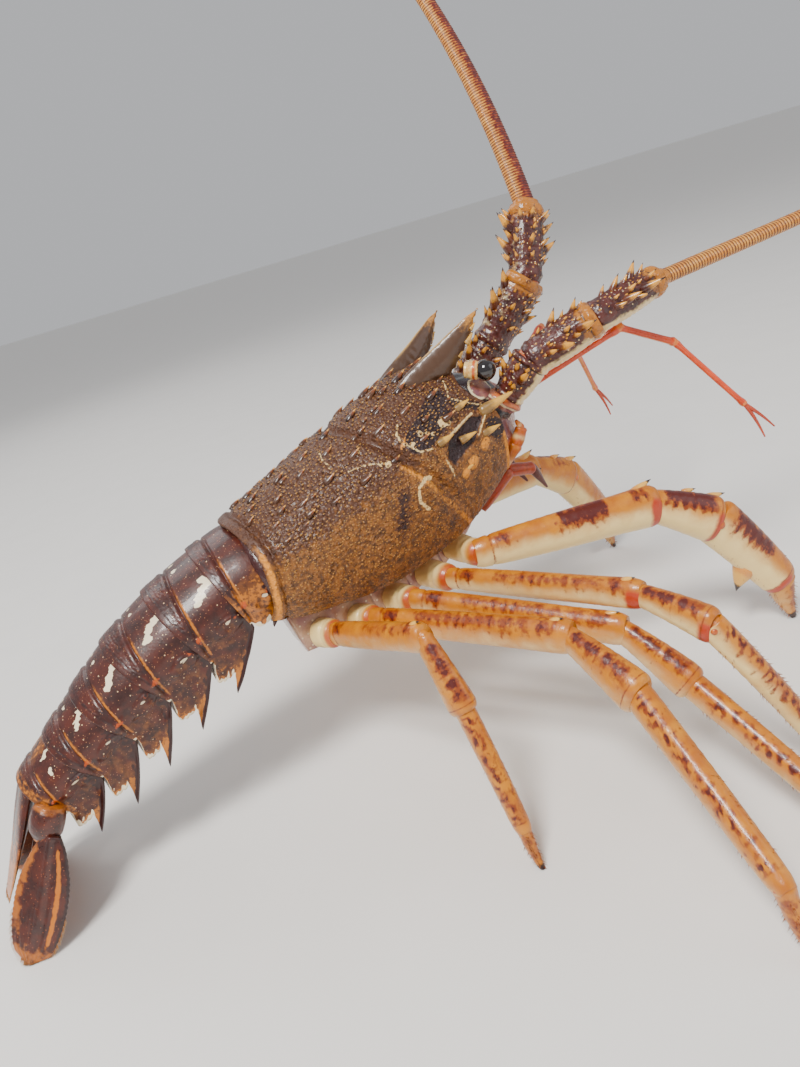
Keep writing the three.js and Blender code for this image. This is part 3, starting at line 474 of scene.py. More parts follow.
class Thorns:
    """A cloud of thorn roots, in millimetres, with aim, bend, size and paint."""

    def __init__(self, carry=level):
        self.carry, self.rows = carry, []

    def add(self, roots, aims, tall, wide, bend=(0, 0, 1), **fields):
        roots = np.atleast_2d(np.asarray(roots, float))
        aims = np.broadcast_to(np.asarray(aims, float), roots.shape)
        bend = np.broadcast_to(np.asarray(bend, float), roots.shape)
        count = len(roots)
        columns = [np.broadcast_to(np.asarray(value, float), (count,))
                   for value in (tall, wide, *(fields.get(field, 0.0) for field in FIELDS[:3]))]
        self.rows.append(np.hstack([roots, unit(aims), unit(bend), np.stack(columns, 1)]))
        return self

    def mesh(self, name, finish, sides=6, rings=4, hook=0.2, belly=0.8):
        table = np.vstack(self.rows)
        start = self.carry(table[:, :3])
        aims = self.carry(table[:, :3] + table[:, 3:6]) - start
        bends = self.carry(table[:, :3] + table[:, 6:9]) - start
        cloud = bpy.data.meshes.new(name + "_cloud")
        cloud.from_pydata(metres(start).tolist(), [], [])
        for field, values in (("aim", aims), ("bend", bends)):
            cloud.attributes.new(field, "FLOAT_VECTOR", "POINT").data.foreach_set("vector",
                                                                                  values.ravel())
        columns = (("tall", table[:, 9] / 1000), ("wide", table[:, 10] / 1000),
                   *((field, table[:, 11 + k]) for k, field in enumerate(FIELDS[:3])))
        for field, values in columns:
            cloud.attributes.new(field, "FLOAT", "POINT").data.foreach_set("value", values.copy())
        return grown(THORN_TREE, cloud, name, Sides=sides, Rings=rings, Hook=hook, Belly=belly,
                     Finish=finish)


print("thorn tree has", len(THORN_TREE.nodes), "nodes")

# %% [markdown]
# ## The carapace
# The shield over the head and chest is one shell: a barrel with a deep groove across it (the
# cervical groove), grains all over the back and smoother sides. A subdivided box could be pushed
# into this shape, but a rule is more exact: sections across the body, each read from five smooth
# curves, as a boat is drawn from its lines.

# %% Surface of the carapace
back_line = curve_through([[-6, 65], [30, 71], [63, 77], [100, 84], [130, 85], [160, 77]])
half_width = curve_through([[-6, 40], [30, 46], [63, 48], [100, 47], [130, 42], [160, 35]])
waist = curve_through([[-6, 33], [30, 33], [63, 34], [100, 38], [130, 43], [160, 46]])
lower_edge = curve_through([[-6, 17], [10, 9], [30, 4], [63, -2], [100, -1], [130, 5], [160, 16]])
rear_margin = curve_through([[0, 0], [60, 5], [100, 0], [125, -5]])
front_margin = curve_through([[0, 157], [25, 152], [50, 148], [78, 157], [100, 159], [125, 155]])
LOWER_ANGLE = 125.0
MM_PER_DEGREE = 0.8


def groove_place(angle):
    return 76 + 34 * (np.abs(angle) / 100) ** 1.3


def shell_point(x, angle, lift=0.0):
    """Place on the carapace: x along it, degrees round from the top, positive to the left."""
    x, angle, lift = np.broadcast_arrays(np.asarray(x, float), np.asarray(angle, float), lift)
    turn = np.radians(angle)
    fade = np.clip((112 - np.abs(angle)) / 15, 0, 1)
    groove = fade * 2.6 * hump(x - groove_place(angle), 3.0)
    upper = back_line(x) - waist(x)
    lower = (waist(x) - lower_edge(x)) / -math.cos(math.radians(LOWER_ANGLE))
    y = half_width(x) * np.sin(turn)
    z = np.where(np.cos(turn) >= 0, upper, lower) * np.cos(turn)
    shrink = 1 + (lift - groove) / np.hypot(y, z)
    return np.stack([x, y * shrink, waist(x) + z * shrink], -1)


def shell_normal(x, angle):
    along = shell_point(x + 1, angle) - shell_point(x - 1, angle)
    around = shell_point(x, angle + 1) - shell_point(x, angle - 1)
    out = unit(np.cross(along, around))
    middle = np.stack([x, 0 * angle, waist(x)], -1)
    sign = np.sign(np.sum(out * (shell_point(x, angle) - middle), -1, keepdims=True))
    return out * sign


print("carapace", back_line(100).round(1), "mm high at its middle")

# %% [markdown]
# What is painted on it follows the shell too: cream lines round a dark panel on the cheek, white
# spots in a black field, a cream curl where the groove ends. Each mark is a place on the unrolled
# shell (x along, degrees round), and turns into a number for each point by its distance.

# %% Marks of the carapace
def patch(distance, radius, soft=1.6):
    """1 inside the radius, 0 outside it, and 0.5 on it."""
    return np.clip(0.5 + (radius - np.asarray(distance, float)) / (2 * soft), 0, 1)


def most(*fields):
    return np.maximum.reduce(np.broadcast_arrays(*fields))


def inside(u, v, corners):
    """Signed distance to a closed outline: negative within it."""
    line = list(corners) + [corners[0]]
    odd = np.zeros(np.shape(u), bool)
    for (u0, v0), (u1, v1) in zip(line, line[1:]):
        if v0 != v1:
            odd ^= ((v0 > v) != (v1 > v)) & (u < (u1 - u0) * (v - v0) / (v1 - v0) + u0)
    return np.where(odd, -1, 1) * to_line(u, v, line)


PANEL = [(143, 72), (122, 76), (116, 86), (119, 94), (139, 92), (151, 79)]
WHITE_SPOTS = [(126, 64, 3.0), (128.5, 67, 1.5), (111, 60, 1.6), (117, 66, 1.0), (104, 62, 1.2),
               (114, 62, 0.8), (87, 61, 1.8), (84, 58, 1.4), (78, 41, 1.5)]
CREAM_LINES = [([(143, 29), (141, 40), (137, 52), (146, 64), (157, 76)], 0.35),
               ([(104, 45), (100, 50), (99, 56), (105, 69)], 0.45), ([(105, 69), (112, 73)], 0.3),
               ([(122, 76), (143, 72)], 0.8), ([(151, 79), (141, 90)], 0.5),
               ([(116, 86), (117, 95)], 0.5), ([(95, 86), (100, 84), (104, 87)], 1.0),
               ([(95, 86), (92, 93), (95, 99)], 0.8), ([(87, 61), (78, 52), (68, 47)], 0.3),
               ([(62, 36), (62, 27), (64, 15)], 0.3)]
TUBERCLES = [(143, 96, 2.4, 1.3), (131, 98, 2.4, 1.3), (124, 99, 1.8, 1.2)]
BLACK_LINES = [([(129, 50), (119, 57), (107, 62)], 6.5), ([(129, 62), (112, 66)], 4.5),
               ([(155, 96), (152, 90)], 4.2), ([(133, 40), (138, 58), (152, 72)], 2.4)]
SHADED_LINES = [([(105, 98), (109, 106), (112, 112)], 3), ([(118, 103), (108, 108), (104, 116)], 2),
                ([(86, 84), (78, 98)], 6.0)]


def unrolled(line):
    """Places (x, degrees round) as places on the flat shell, in millimetres."""
    return [(p, q * MM_PER_DEGREE) for p, q in line]


def carapace_marks(x, angle):
    a = np.abs(angle)
    u, v = x, a * MM_PER_DEGREE
    panel = inside(u, v, unrolled(PANEL))
    pale = most(*(patch(np.hypot(u - p, v - q * MM_PER_DEGREE), r, 0.9) for p, q, r in WHITE_SPOTS),
                *(patch(to_line(u, v, unrolled(line)), r, 0.9) for line, r in CREAM_LINES))
    dark = most(patch(panel, -1.6, 1.0),
                *(patch(to_line(u, v, unrolled(line)), r, 1.8) for line, r in BLACK_LINES),
                *(0.5 * patch(to_line(u, v, unrolled(line)), r, 5.5) for line, r in SHADED_LINES))
    warm = most(patch(to_line(u, v, unrolled([(121, 57), (112, 59), (110, 58)])), 0.8, 0.7),
                patch(to_line(u, v, unrolled([(104, 55), (98, 59)])), 0.8, 0.7),
                0.75 * hump(u - rear_margin(a) - 2.5, 2.2) * rise(a, 30, 70),
                0.8 * patch(front_margin(a) - u, 2.4, 1.4) * rise(a, 96, 104),
                0.62 * hump(u - groove_place(a) + 4, 2.5) * rise(a, 55, 75),
                *(0.9 * patch(np.hypot((u - p) / 1.6, v - q * MM_PER_DEGREE), r, 0.9)
                  for p, q, r, _ in TUBERCLES))
    back = 1 - rise(a, 62, 84)
    return dark, pale, warm, back


def carapace_lift(x, angle):
    """Relief of the shell in millimetres."""
    a = np.abs(angle)
    v = a * MM_PER_DEGREE
    from_rear, from_front = x - rear_margin(a), front_margin(a) - x
    calm = (rise(from_rear, 8, 13) * rise(from_front, 1, 4)
            * (1 - 0.8 * hump(x - groove_place(a), 3.0) * (a < 100)))
    rough = 1 - 0.55 * rise(a, 70, 88)
    lift = calm * (0.62 * rough * studs(x, angle * MM_PER_DEGREE, 2.7, 3.0)
                   + 0.22 * studs(x + 1.3, angle * MM_PER_DEGREE, 1.9, 9.0))
    scallop = (studs(x * 0.62, angle * MM_PER_DEGREE, 2.2, 5.0)
               * hump(np.hypot(x - 116, (a - 112) * 0.7), 14))
    lift = (lift + 0.45 * scallop - 1.5 * hump(from_rear - 7.5, 1.5)
            + 0.5 * hump(from_rear - 4.0, 3.0))
    lift = lift + 0.7 * hump(from_front, 1.6) * rise(a, 30, 60)
    lift = (lift + 1.6 * hump(np.hypot(x - 100, (a - 88) * 0.8), 7)
            - 1.0 * hump(np.hypot(x - 109, (a - 103) * 0.8), 6))
    for p, q, r, tall in TUBERCLES:
        lift = lift + tall * hump(np.hypot((x - p) / 1.5, v - q * MM_PER_DEGREE), r)
    panel = inside(x, v, unrolled(PANEL))
    lift = lift - 0.9 * patch(panel, -1.5, 1.5) + 0.7 * hump(panel, 1.6)
    swell = 1.2 * hump(x - groove_place(a) - 9, 7) * rise(a, 30, 55) * (1 - rise(a, 84, 100))
    return lift + swell + 0.35 * swirl(shell_point(x, angle), 34, 4)


print("marks:", len(WHITE_SPOTS), "spots,", len(CREAM_LINES), "cream lines")

# %% The carapace as one skin
SHELL_FINISH = shell("carapace shell", "8c5414", "54300c", patch=3.0, edge=0.16, gloss=0.52,
                     coat=0.14, dots=(("2e1408", 2.9, 0.34, "tip"), ("b67a2a", 1.7, 0.3, None),
                                      ("f0cc84", 3.9, 0.15, "tip")),
                     layers=(("tip", "4c260a", 2.6, 1.9, 0.3), ("warm", "dc8a1c", 3, 0.8, 0.2),
                             ("dark", "34100c", 1.8, 1.0, 0.2, 0.4),
                             ("dark", "220506", 2.4, 0.9, 0.14),
                             ("pale", "e6c484", 1.6, 1.2, 0.16)), relief=((2.4, 0.35), (0.9, 0.25)),
                     grain=((1.9, 0.5),))

steps_along, steps_round = 210, 290
share = np.linspace(0, 1, steps_along)[None, :]
degrees = np.linspace(-LOWER_ANGLE, LOWER_ANGLE, steps_round)[:, None]
rear, front = rear_margin(np.abs(degrees)), front_margin(np.abs(degrees))
x = rear + (front - rear) * share
angle = np.broadcast_to(degrees, x.shape)
outer = shell_point(x, angle, carapace_lift(x, angle))
inner = shell_point(x, angle, -2.4)[:, ::-8]
marks = carapace_marks(x, angle)
dark, pale, warm, back = (np.concatenate([mark, 0 * inner[..., 0]], 1) for mark in marks)

carapace = Piece()
carapace.rings(np.concatenate([outer, inner], 1), dark=dark, pale=pale, warm=warm, tip=back * 0.8)
show("carapace_shell", carapace.mesh("carapace_shell"), SHELL_FINISH, "shell", "carapace")
print("carapace faces:", made["carapace_shell"])

# %% [markdown]
# Under the shell lies the body itself, seen only at the gaps: a skin that closes the barrel from
# inside, pale purple-pink between the legs and dark at the rear, where the tail slides under it.

# %% Skin under the shell
SKIN_FINISH = shell("joint skin", "a8747a", "c8a08e", patch=4, gloss=0.3, coat=0.5,
                    relief=((3.0, 0.5), (1.0, 0.15)),
                    layers=(("dark", "3a100c", 3, 0.5, 0.3), ("warm", "c2431f", 3, 0.4, 0.3)))

under_x = np.linspace(1.5, 146, 40)[:, None]
under_angle = np.linspace(-LOWER_ANGLE + 3, LOWER_ANGLE - 3, 60)[None, :]
under = shell_point(under_x + 0 * under_angle, under_angle + 0 * under_x, -4.2)
floor_line = np.linspace(0, 1, 14)[1:-1][None, :, None]
chord = under[:, -1:] * (1 - floor_line) + under[:, :1] * floor_line
lining = Piece()
lining.rings(np.concatenate([under, chord], 1), dark=1 - rise(under_x, 12, 20))
show("body_skin", lining.mesh("body_skin"), SKIN_FINISH, "pale")
print("skin faces:", made["body_skin"])

# %% [markdown]
# Spines stand in rows down the back and single big ones on the cheeks. Between them the whole
# back is sown with grains that lean forward, golden toward the point, and the cream at each point
# is a painted highlight. Both are thorns: the tree from before grows them on roots laid out by
# numbers.

# %% Spines and grains of the carapace
def tipped(name, base, second, middle, point, start=0.45, end=0.8, gloss=0.3):
    """A thorn's finish: base colours, then a middle and a point colour toward the tip."""
    finish = Finish(name)
    colour = finish.mix(finish.field("pale"), paint(base), paint(second))
    wander = finish.field("tip") + (finish.noise(1.6) - 0.5) * 0.3
    colour = finish.mix(finish.step(wander, start - 0.16, start + 0.12), colour, paint(middle))
    colour = finish.mix(finish.step(wander, end - 0.06, end + 0.06), colour, paint(point))
    finish.feed(finish.body.inputs["Base Color"], colour)
    finish.feed(finish.body.inputs["Roughness"], finish.noise(1.2) * 0.2 + gloss - 0.1)
    bump = finish.node("ShaderNodeBump",
                       {"Strength": 1.0, "Distance": 0.001, "Height": finish.noise(0.8) * 0.08})
    finish.feed(finish.body.inputs["Normal"], bump)
    finish.body.inputs["Coat Weight"].default_value = 0.4
    return finish.material


SPINE_TIPS = tipped("dark spine with a gold point", "2a120a", "70421a", "7a3f16", "eaa84e", 0.5,
                    0.78)
BIG_SPINE_TIPS = tipped("yellow spine with a brown point", "30181a", "c79a4a", "d9a440", "3a1d10",
                        0.3, 0.86)
# The grains' cream point colour (e2b86e) is a painted highlight on each tip; the golden middle
# below it is the grain's own colour.
GRAIN_TIPS_WITH_PAINTED_HIGHLIGHT = tipped("grain with a pale point", "40200a", "82521a", "a8742c", "e2b86e", 0.45, 0.86,
                    0.46)

FACE_SPINES = [(150, 0, 14, 6, .35), (152, 76, 21, 7, .38), (146, 92, 11, 5, .35),
               (131, 84, 10, 4.6, .35), (118, 74, 10, 5, .4), (138, 62, 9, 4.5, .4),
               (124, 98, 7, 4, .35)]
SPINE_ROWS = [(9, 20, 142, 17, 9), (26, 12, 122, 17.5, 9), (43, 20, 138, 18, 8),
              (61, 14, 132, 19, 7)]
draw = np.random.default_rng(11)
rows, big = Thorns(), Thorns()
taken = []
for mirror in (-1, 1):
    for x0, a0, tall, wide, stand in FACE_SPINES:
        if a0 == 0 and mirror > 0:
            continue
        root = shell_point(x0, a0 * mirror, -0.8)
        aim = shell_normal(x0, a0 * mirror) * stand + (1, 0, 0)
        big.add(root, aim, tall, wide * 1.05, (0, 0, 1), pale=0.4)
        taken.append((x0, a0 * mirror * MM_PER_DEGREE))
    for a0, first, last, gap, tallest in SPINE_ROWS:
        for x0 in np.arange(first, last + 0.1, gap):
            tall = tallest * (0.62 + 0.38 * (x0 / 140)) * (0.9 + 0.2 * abs(math.sin(x0 * 7 + a0)))
            place = (a0 + 3 * math.sin(x0 * 1.7 + a0)) * mirror
            root = shell_point(x0, place, -0.6)
            aim = shell_normal(x0, place) * 0.75 + (1, 0, 0)
            rows.add(root, aim, tall, tall * 0.62, (1, 0, 0.5), pale=draw.uniform(0, 0.5))
            taken.append((x0, place * MM_PER_DEGREE))
taken = np.array(taken)
TRIES, NEIGHBOURS = 26000, 3000
small = []
for _ in range(TRIES):
    x0, a0 = draw.uniform(9, 156), draw.uniform(-112, 112)
    a1 = abs(a0)
    v0 = a0 * MM_PER_DEGREE
    if not rear_margin(a1) + 10 < x0 < front_margin(a1) - 3:
        continue
    dense = 1.0 if a1 < 66 else 0.45 * float(1 - rise(a1, 66, 112)) + 0.12
    if draw.uniform() > dense or abs(x0 - groove_place(a1)) < 3.0:
        continue
    panel = inside(np.array(x0), np.array(abs(v0)), unrolled(PANEL))
    if panel < 1.2 or np.hypot(x0 - 112, (a1 - 108) * 0.7) < 12:
        continue
    size = draw.uniform(0.7, 1.35) * (1.0 if a1 < 70 else 0.72)
    if draw.uniform() < 0.055 and a1 < 66:
        size *= 2.1
    gap = 1.15 + size * 0.75
    spots = small[-NEIGHBOURS:]
    if spots:
        table = np.array(spots)
        if np.min(np.hypot(table[:, 0] - x0, table[:, 1] - v0)) < gap:
            continue
    if np.min(np.hypot(taken[:, 0] - x0, taken[:, 1] - v0)) < 2.6:
        continue
    small.append((x0, v0, size))
small = np.array(small)
grain_x, grain_a, grain_size = small[:, 0], small[:, 1] / MM_PER_DEGREE, small[:, 2]
roots = shell_point(grain_x, grain_a, carapace_lift(grain_x, grain_a) - 0.25)
aims = shell_normal(grain_x, grain_a) * 0.75 + np.array([1.0, 0, 0])
large = grain_size > 1.7
rows.add(roots[large], aims[large], grain_size[large] * 1.9, grain_size[large] * 1.5, (1, 0, 0.4),
         pale=0.3)
grains = Thorns().add(roots[~large], aims[~large], grain_size[~large] * 1.25,
                      grain_size[~large] * 1.45, (1, 0, 0.4),
                      pale=rise(np.abs(grain_a[~large]), 60, 90))
show("carapace_spines", rows.mesh("carapace_spines", SPINE_TIPS, sides=8, rings=6, hook=0.28),
     SPINE_TIPS, "shell")
show("cheek_spines", big.mesh("cheek_spines", BIG_SPINE_TIPS, sides=12, rings=10, hook=0.14),
     BIG_SPINE_TIPS, "shell")
show("carapace_grains",
     grains.mesh("carapace_grains", GRAIN_TIPS_WITH_PAINTED_HIGHLIGHT, sides=6, rings=2, hook=0.3, belly=1.4), GRAIN_TIPS_WITH_PAINTED_HIGHLIGHT,
     "shell")
print("grains:", int((~large).sum()), "small spines:", int(large.sum()), "faces:",
      made["carapace_grains"])

# %% [markdown]
# ## Limbs
# Legs, stems of the antennae and mouth parts are all jointed tubes. One function makes a length
# between two joints: its size runs from the near end to the far end, a profile gives it a slim
# neck and a cup, and a mark function paints it by how far along and how far round a point is.

# %% One length of a limb
def limb_frame(start, end, up=(0, 0, 1)):
    axis = unit(end - start)
    side = unit(np.cross(axis, up))
    return axis, side, np.cross(side, axis)


def tube(piece, start, end, near, far, up=(0, 0, 1), profile=None, mark=None, relief=None, rows=70,
         around=40, power=0.92, ends=(0.0, 1.0), bow=0.0):
    """A length of shell from joint to joint. near and far are (half width, half height)."""
    axis, side, top = limb_frame(start, end, up)
    length = np.linalg.norm(end - start)
    ease = np.linspace(0, 1, rows)
    u = ends[0] + (ends[1] - ends[0]) * (ease - 0.09 * np.sin(4 * math.pi * ease) / 2)
    scale = profile(u) if profile else np.ones(rows)
    turn = 2 * math.pi * np.arange(around) / around
    c, s = squared(np.sin(turn), power), squared(np.cos(turn), power)
    wide = (near[0] + (far[0] - near[0]) * u) * scale
    high = (near[1] + (far[1] - near[1]) * u) * scale
    grid_u, grid_t = np.meshgrid(u, turn, indexing="ij")
    lift = relief(grid_u, grid_t, length) if relief else 0 * grid_u
    y = (wide[:, None] + lift) * c
    z = (high[:, None] + lift) * s + bow * np.sin(math.pi * np.clip(u, 0, 1))[:, None]
    points = start + (u * length)[:, None, None] * axis + y[..., None] * side + z[..., None] * top
    fields = mark(grid_u, grid_t, length) if mark else {}
    piece.rings(points, start=points[0].mean(0) + axis * 0.25 * near[0],
                end=points[-1].mean(0) - axis * 0.25 * far[0], **fields)
    return axis, side, top, length


def knob(piece, centre, axis, side, size, **fields):
    """A round hinge knob, pressed a little flat."""
    rows = np.linspace(0.12, math.pi - 0.12, 12)
    top = np.cross(axis, side)
    rings = [oval(centre + side * math.cos(t) * size * 0.8, axis, top, size * math.sin(t),
                  size * math.sin(t), 16) for t in rows]
    piece.rings(rings, **fields)


LEG_FINISH = shell("leg shell", "cc8000", "b05e00", patch=9, edge=0.22, gloss=0.36, coat=0.32,
                   layers=(("pale", "f4d68e", 9, 0.8, 0.42), ("warm", "b43404", 4, 0.6, 0.3),
                           ("dark", "8a3a04", 2.0, 0.9, 0.22, 0.36),
                           ("dark", "521004", 1.8, 1.3, 0.14, 0.66),
                           ("tip", "2a0c06", 3, 0.4, 0.2)), relief=((3.0, 0.25), (0.8, 0.12)))
SKIN_RED = shell("red joint skin", "a83c08", "c8641a", patch=3, gloss=0.34, coat=0.4,
                 relief=((1.6, 0.5), (0.5, 0.1)), layers=(("pale", "c99a90", 3, 0.6, 0.3),))

# %% [markdown]
# ## Horns, head and eyes
# A big horn arches over each eye. It is flattened from side to side, with teeth along its front
# edge, dark brown with cream edges and a small gold and black point. A tube with a round section
# would look like a thorn, so the rings here are tall and narrow, and follow a bent line.

# %% Horns
HORN_LINE = np.array([(118, 14.2, 78), (128, 15, 80), (146, 18, 84), (160, 21, 91), (171, 23.5, 98),
                      (177, 24.5, 101)], float)
HORN_TEETH = [(165, 23, 87.5, 7), (158.5, 21, 83, 6.5), (170, 24, 93, 4.5)]
horn_places = np.concatenate([[0], np.cumsum(np.linalg.norm(np.diff(HORN_LINE, axis=0), axis=1))])


def smooth_line(points, places, at):
    return np.stack([curve_through(list(zip(places, points[:, k])))(at) for k in range(3)], -1)


HORN_FINISH = tipped("horn", "300e0e", "c49a58", "e0983a", "2a120a", 0.91, 0.985, 0.4)
horn_wide = curve_through([[0, 3.2], [10, 4.3], [28, 4.2], [43, 3.3], [56, 1.7], [63, 0.4]])
horn_high = curve_through([[0, 5.0], [10, 7.4], [28, 8.8], [43, 6.6], [56, 3.1], [63, 0.5]])
for side_name, mirror in (("right", -1), ("left", 1)):
    places = np.linspace(0, horn_places[-1], 80)
    line = smooth_line(HORN_LINE * (1, mirror, 1), horn_places, places)
    axis = unit(np.gradient(line, axis=0))
    side = unit(np.cross(axis, (0, 0, 1)))
    top = np.cross(side, axis)
    turn = 2 * math.pi * np.arange(40) / 40
    c, s = np.cos(turn), np.sin(turn)
    front_edge = np.clip(-s, 0, 1) ** 2
    ridge = 0.28 * np.sin(places * 1.35)[:, None] * front_edge * rise(places, 16, 26)[:, None]
    wide, high = horn_wide(places)[:, None], horn_high(places)[:, None]
    grain_lift = (0.07
                  * swirl(np.stack([places[:, None] + 0 * turn, turn * 5 + 0 * places[:, None]],
                                   -1), 5, 8))
    sideways = c * wide * (1 - 0.25 * np.abs(s)) + grain_lift * c
    upward = s * high - ridge * 1.6 * front_edge
    rings = line[:, None] + sideways[..., None] * side[:, None] + upward[..., None] * top[:, None]
    tip = (places / horn_places[-1])[:, None] + 0 * turn
    horn = Piece()
    edges = 0.9 * hump(np.abs(s) - 1, 0.05) * rise(places, 16, 30)[:, None]
    horn.rings(rings, tip=tip, pale=0.08 + edges)
    name = f"horn_over_eye_{side_name}"
    show(name, horn.mesh(name), HORN_FINISH, "shell", f"horn_{side_name}")
    teeth = Thorns()
    for x0, y0, z0, tall in HORN_TEETH:
        teeth.add((x0 - 1.0, y0 * mirror, z0), (1, 0.1 * mirror, 0.5), tall, tall * 0.55,
                  (0.3, 0, 1), pale=0.8)
    for t in np.linspace(22, 52, 9):
        spot = smooth_line(HORN_LINE * (1, mirror, 1), horn_places, np.array(t))
        low = horn_high(t) * -0.93
        teeth.add(spot + np.array([0.35, 0, -0.93]) * abs(low) * 0.98, (0.9, 0, -0.2), 2.4, 1.7,
                  (0, 0, 1), pale=0.9)
    show(f"horn_teeth_{side_name}",
         teeth.mesh("teeth", BIG_SPINE_TIPS, sides=10, rings=6, hook=0.2), BIG_SPINE_TIPS, "shell")
print("horns done")

# %% [markdown]
# The head in front of the shell is a block of fused plates, with a round socket for each antenna.
# The block is a run of squared rings whose width, foot and top come from three curves. The
# sockets are short tubes, sunk into it along the first length of each antenna.

# %% The head block
HEAD_SECTIONS = [[138, 26, 12, 70], [150, 28, 12, 70.5], [160, 28, 13, 69], [170, 24, 16, 63],
                 [178, 14, 26, 54], [182, 9.5, 31, 49]]
head_wide = curve_through([[r[0], r[1]] for r in HEAD_SECTIONS])
head_low = curve_through([[r[0], r[2]] for r in HEAD_SECTIONS])
head_high = curve_through([[r[0], r[3]] for r in HEAD_SECTIONS])
HEAD_FINISH = shell("head plates", "7c4a52", "a86a4a", patch=5, edge=0.18, gloss=0.3, coat=0.5,
                    dots=(("e8cf9c", 3.4, 0.22, None),),
                    layers=(("warm", "c8641e", 4, 0.7, 0.25), ("dark", "1d0d14", 4, 0.6, 0.15),
                            ("pale", "e6d2a6", 3, 0.6, 0.14)), relief=((2.5, 0.4), (0.8, 0.15)))
places = np.linspace(138, 182, 70)
turn = 2 * math.pi * (np.arange(110) + 0.5) / 110
c, s = np.cos(turn), np.sin(turn)
full_c, full_s = squared(c, 0.6), squared(s, 0.6)
y = head_wide(places)[:, None] * full_c
middle_z, half_z = ((head_low(places) + head_high(places)) / 2,
                    (head_high(places) - head_low(places)) / 2)
z = middle_z[:, None] + half_z[:, None] * full_s
lump = 0.8 * swirl(np.stack([places[:, None] + 0 * y, y, z], -1), 15, 3) + 0.7 * studs(y, z, 4.2, 1)
z = z + lump * full_s * 0.6
y = y + lump * full_c * 0.6
x = places[:, None] + 0 * y
eye_gap = np.hypot(x - 162, np.hypot(np.abs(y) - 27, z - 64))
head = Piece()
head.rings(np.stack([x, y, z], -1),
           dark=most(hump(eye_gap - 11, 3.5), 0.9 * rise(z, 60, 66) * (np.abs(y) < 18)),
           pale=most(0.8 * hump(eye_gap - 8.5, 0.9), 0.65 * rise(-z, -22, -15)),
           warm=most(0.9 * hump(np.abs(y) - 5, 5) * rise(x, 165, 174), 0.7 * rise(-z, -34, -24)))
joint_rows = {
    "right": [(172, -28, 50), (189, -37, 64), (223, -54, 71), (266, -57, 72)],
    "left": [(172, 28, 51), (201, 20, 69), (231, 10, 93), (254, 19, 128)],
}
ANTENNA_UP = {"right": (0, 0, 1), "left": (1, 0, 0)}
for side_name, joints in joint_rows.items():
    start, following = np.array(joints[0], float), np.array(joints[1], float)
    first = unit(following - start)
    side = unit(np.cross(first, ANTENNA_UP[side_name]))
    top = np.cross(side, first)
    sunk = start * (1, 0.72, 1) + (-20, 0, -7)
    stations = np.linspace(0, 1, 30)
    rings = []
    for t in stations:
        centre = sunk + (start - sunk) * t
        size = 9.4 + 0.9 * hump(t - 0.9, 0.06) - 0.7 * hump(t - 0.72, 0.05) + 0.5 * math.sin(t * 9)
        rings.append(oval(centre, side, top, size, size, 48))
    rings = np.array(rings)
    rings = (rings + 0.35 * swirl(rings, 7, 12)[..., None]
             * unit(rings - rings.mean(1, keepdims=True)))
    head.rings(rings, warm=(0.75 * hump(stations - 0.95, 0.08))[:, None],
               pale=(0.7 * hump(stations - 0.84, 0.05))[:, None],
               dark=(0.8 * hump(stations - 0.6, 0.16))[:, None])
show("head_plates", head.mesh("head_plates"), HEAD_FINISH, "peduncle", "head")

# %% [markdown]
# Each eye is a black globe on a short stalk, cream with an orange ring. Both are rings about one
# axis. A gloss coat and a very fine relief of cells give the globe the shine of a real one.

# %% Eyes
EYE_CENTRE, STALK_ROOT = np.array([164.0, 31, 71]), np.array([156.6, 24.7, 74.7])
STALK_FINISH = shell("eye stalk", "ecca82", "d8a050", patch=2.5, gloss=0.28, coat=0.6,
                     relief=((1.5, 0.2), (0.5, 0.06)),
                     layers=(("dark", "7a3a1c", 1.5, 0.5, 0.2), ("warm", "c55a1c", 2, 0.5, 0.2)))
ball_finish = Finish("eye globe")
gleam = ball_finish.mix(ball_finish.noise(1.4), paint("0b090a"), paint("1a1214"))
ball_finish.feed(ball_finish.body.inputs["Base Color"], gleam)
ball_finish.feed(ball_finish.body.inputs["Roughness"], ball_finish.noise(0.6) * 0.05 + 0.1)
facets = ball_finish.node("ShaderNodeBump", {"Strength": 0.35, "Distance": 0.0001,
                                             "Height": ball_finish.cells(0.24) * 0.3})
ball_finish.feed(ball_finish.body.inputs["Normal"], facets)
ball_finish.body.inputs["Coat Weight"].default_value = 1.0
ball_finish.body.inputs["Coat Roughness"].default_value = 0.04
for side_name, mirror in (("right", -1), ("left", 1)):
    centre, root = EYE_CENTRE * (1, mirror, 1), STALK_ROOT * (1, mirror, 1)
    axis = unit(centre - root)
    side = unit(np.cross(axis, (0, 0, 1)))
    top = np.cross(side, axis)
    stalk_size = curve_through([[-4, 4.6], [0, 4.4], [3, 5.2], [5, 5.3], [6.4, 4.6], [7.6, 4.5],
                                [9, 5.6], [10.4, 5.9]])
    steps = np.linspace(-1, 10.4, 46)
    stalk = Piece()
    stalk.rings([oval(root + axis * t, side, top, stalk_size(t), stalk_size(t), 40) for t in steps],
                warm=(0.9 * hump(steps - 4.4, 1.0))[:, None],
                dark=(0.8 * hump(steps - 6.9, 0.6))[:, None])
    show(f"eye_stalk_{side_name}", stalk.mesh(f"eye_stalk_{side_name}"), STALK_FINISH, "eye")
    globe = Piece()
    bulge = np.linspace(0.35, math.pi - 0.05, 40)
    globe.rings([oval(root + axis * (10.4 - 5.9 * math.cos(t)), side, top, 5.95 * math.sin(t),
                      5.95 * math.sin(t), 48) for t in bulge])
    show(f"eye_globe_{side_name}", globe.mesh(f"eye_globe_{side_name}"), ball_finish.material,
         "eye", f"eye_{side_name}")
print("eyes at", EYE_CENTRE)

# %% [markdown]
# ## Mouth and breastplate
# Under the head the third maxillipeds fold forward, dark red, with orange palps beside them. They
# are limbs too, small and plain, so one loop runs the tube from before along their joints.

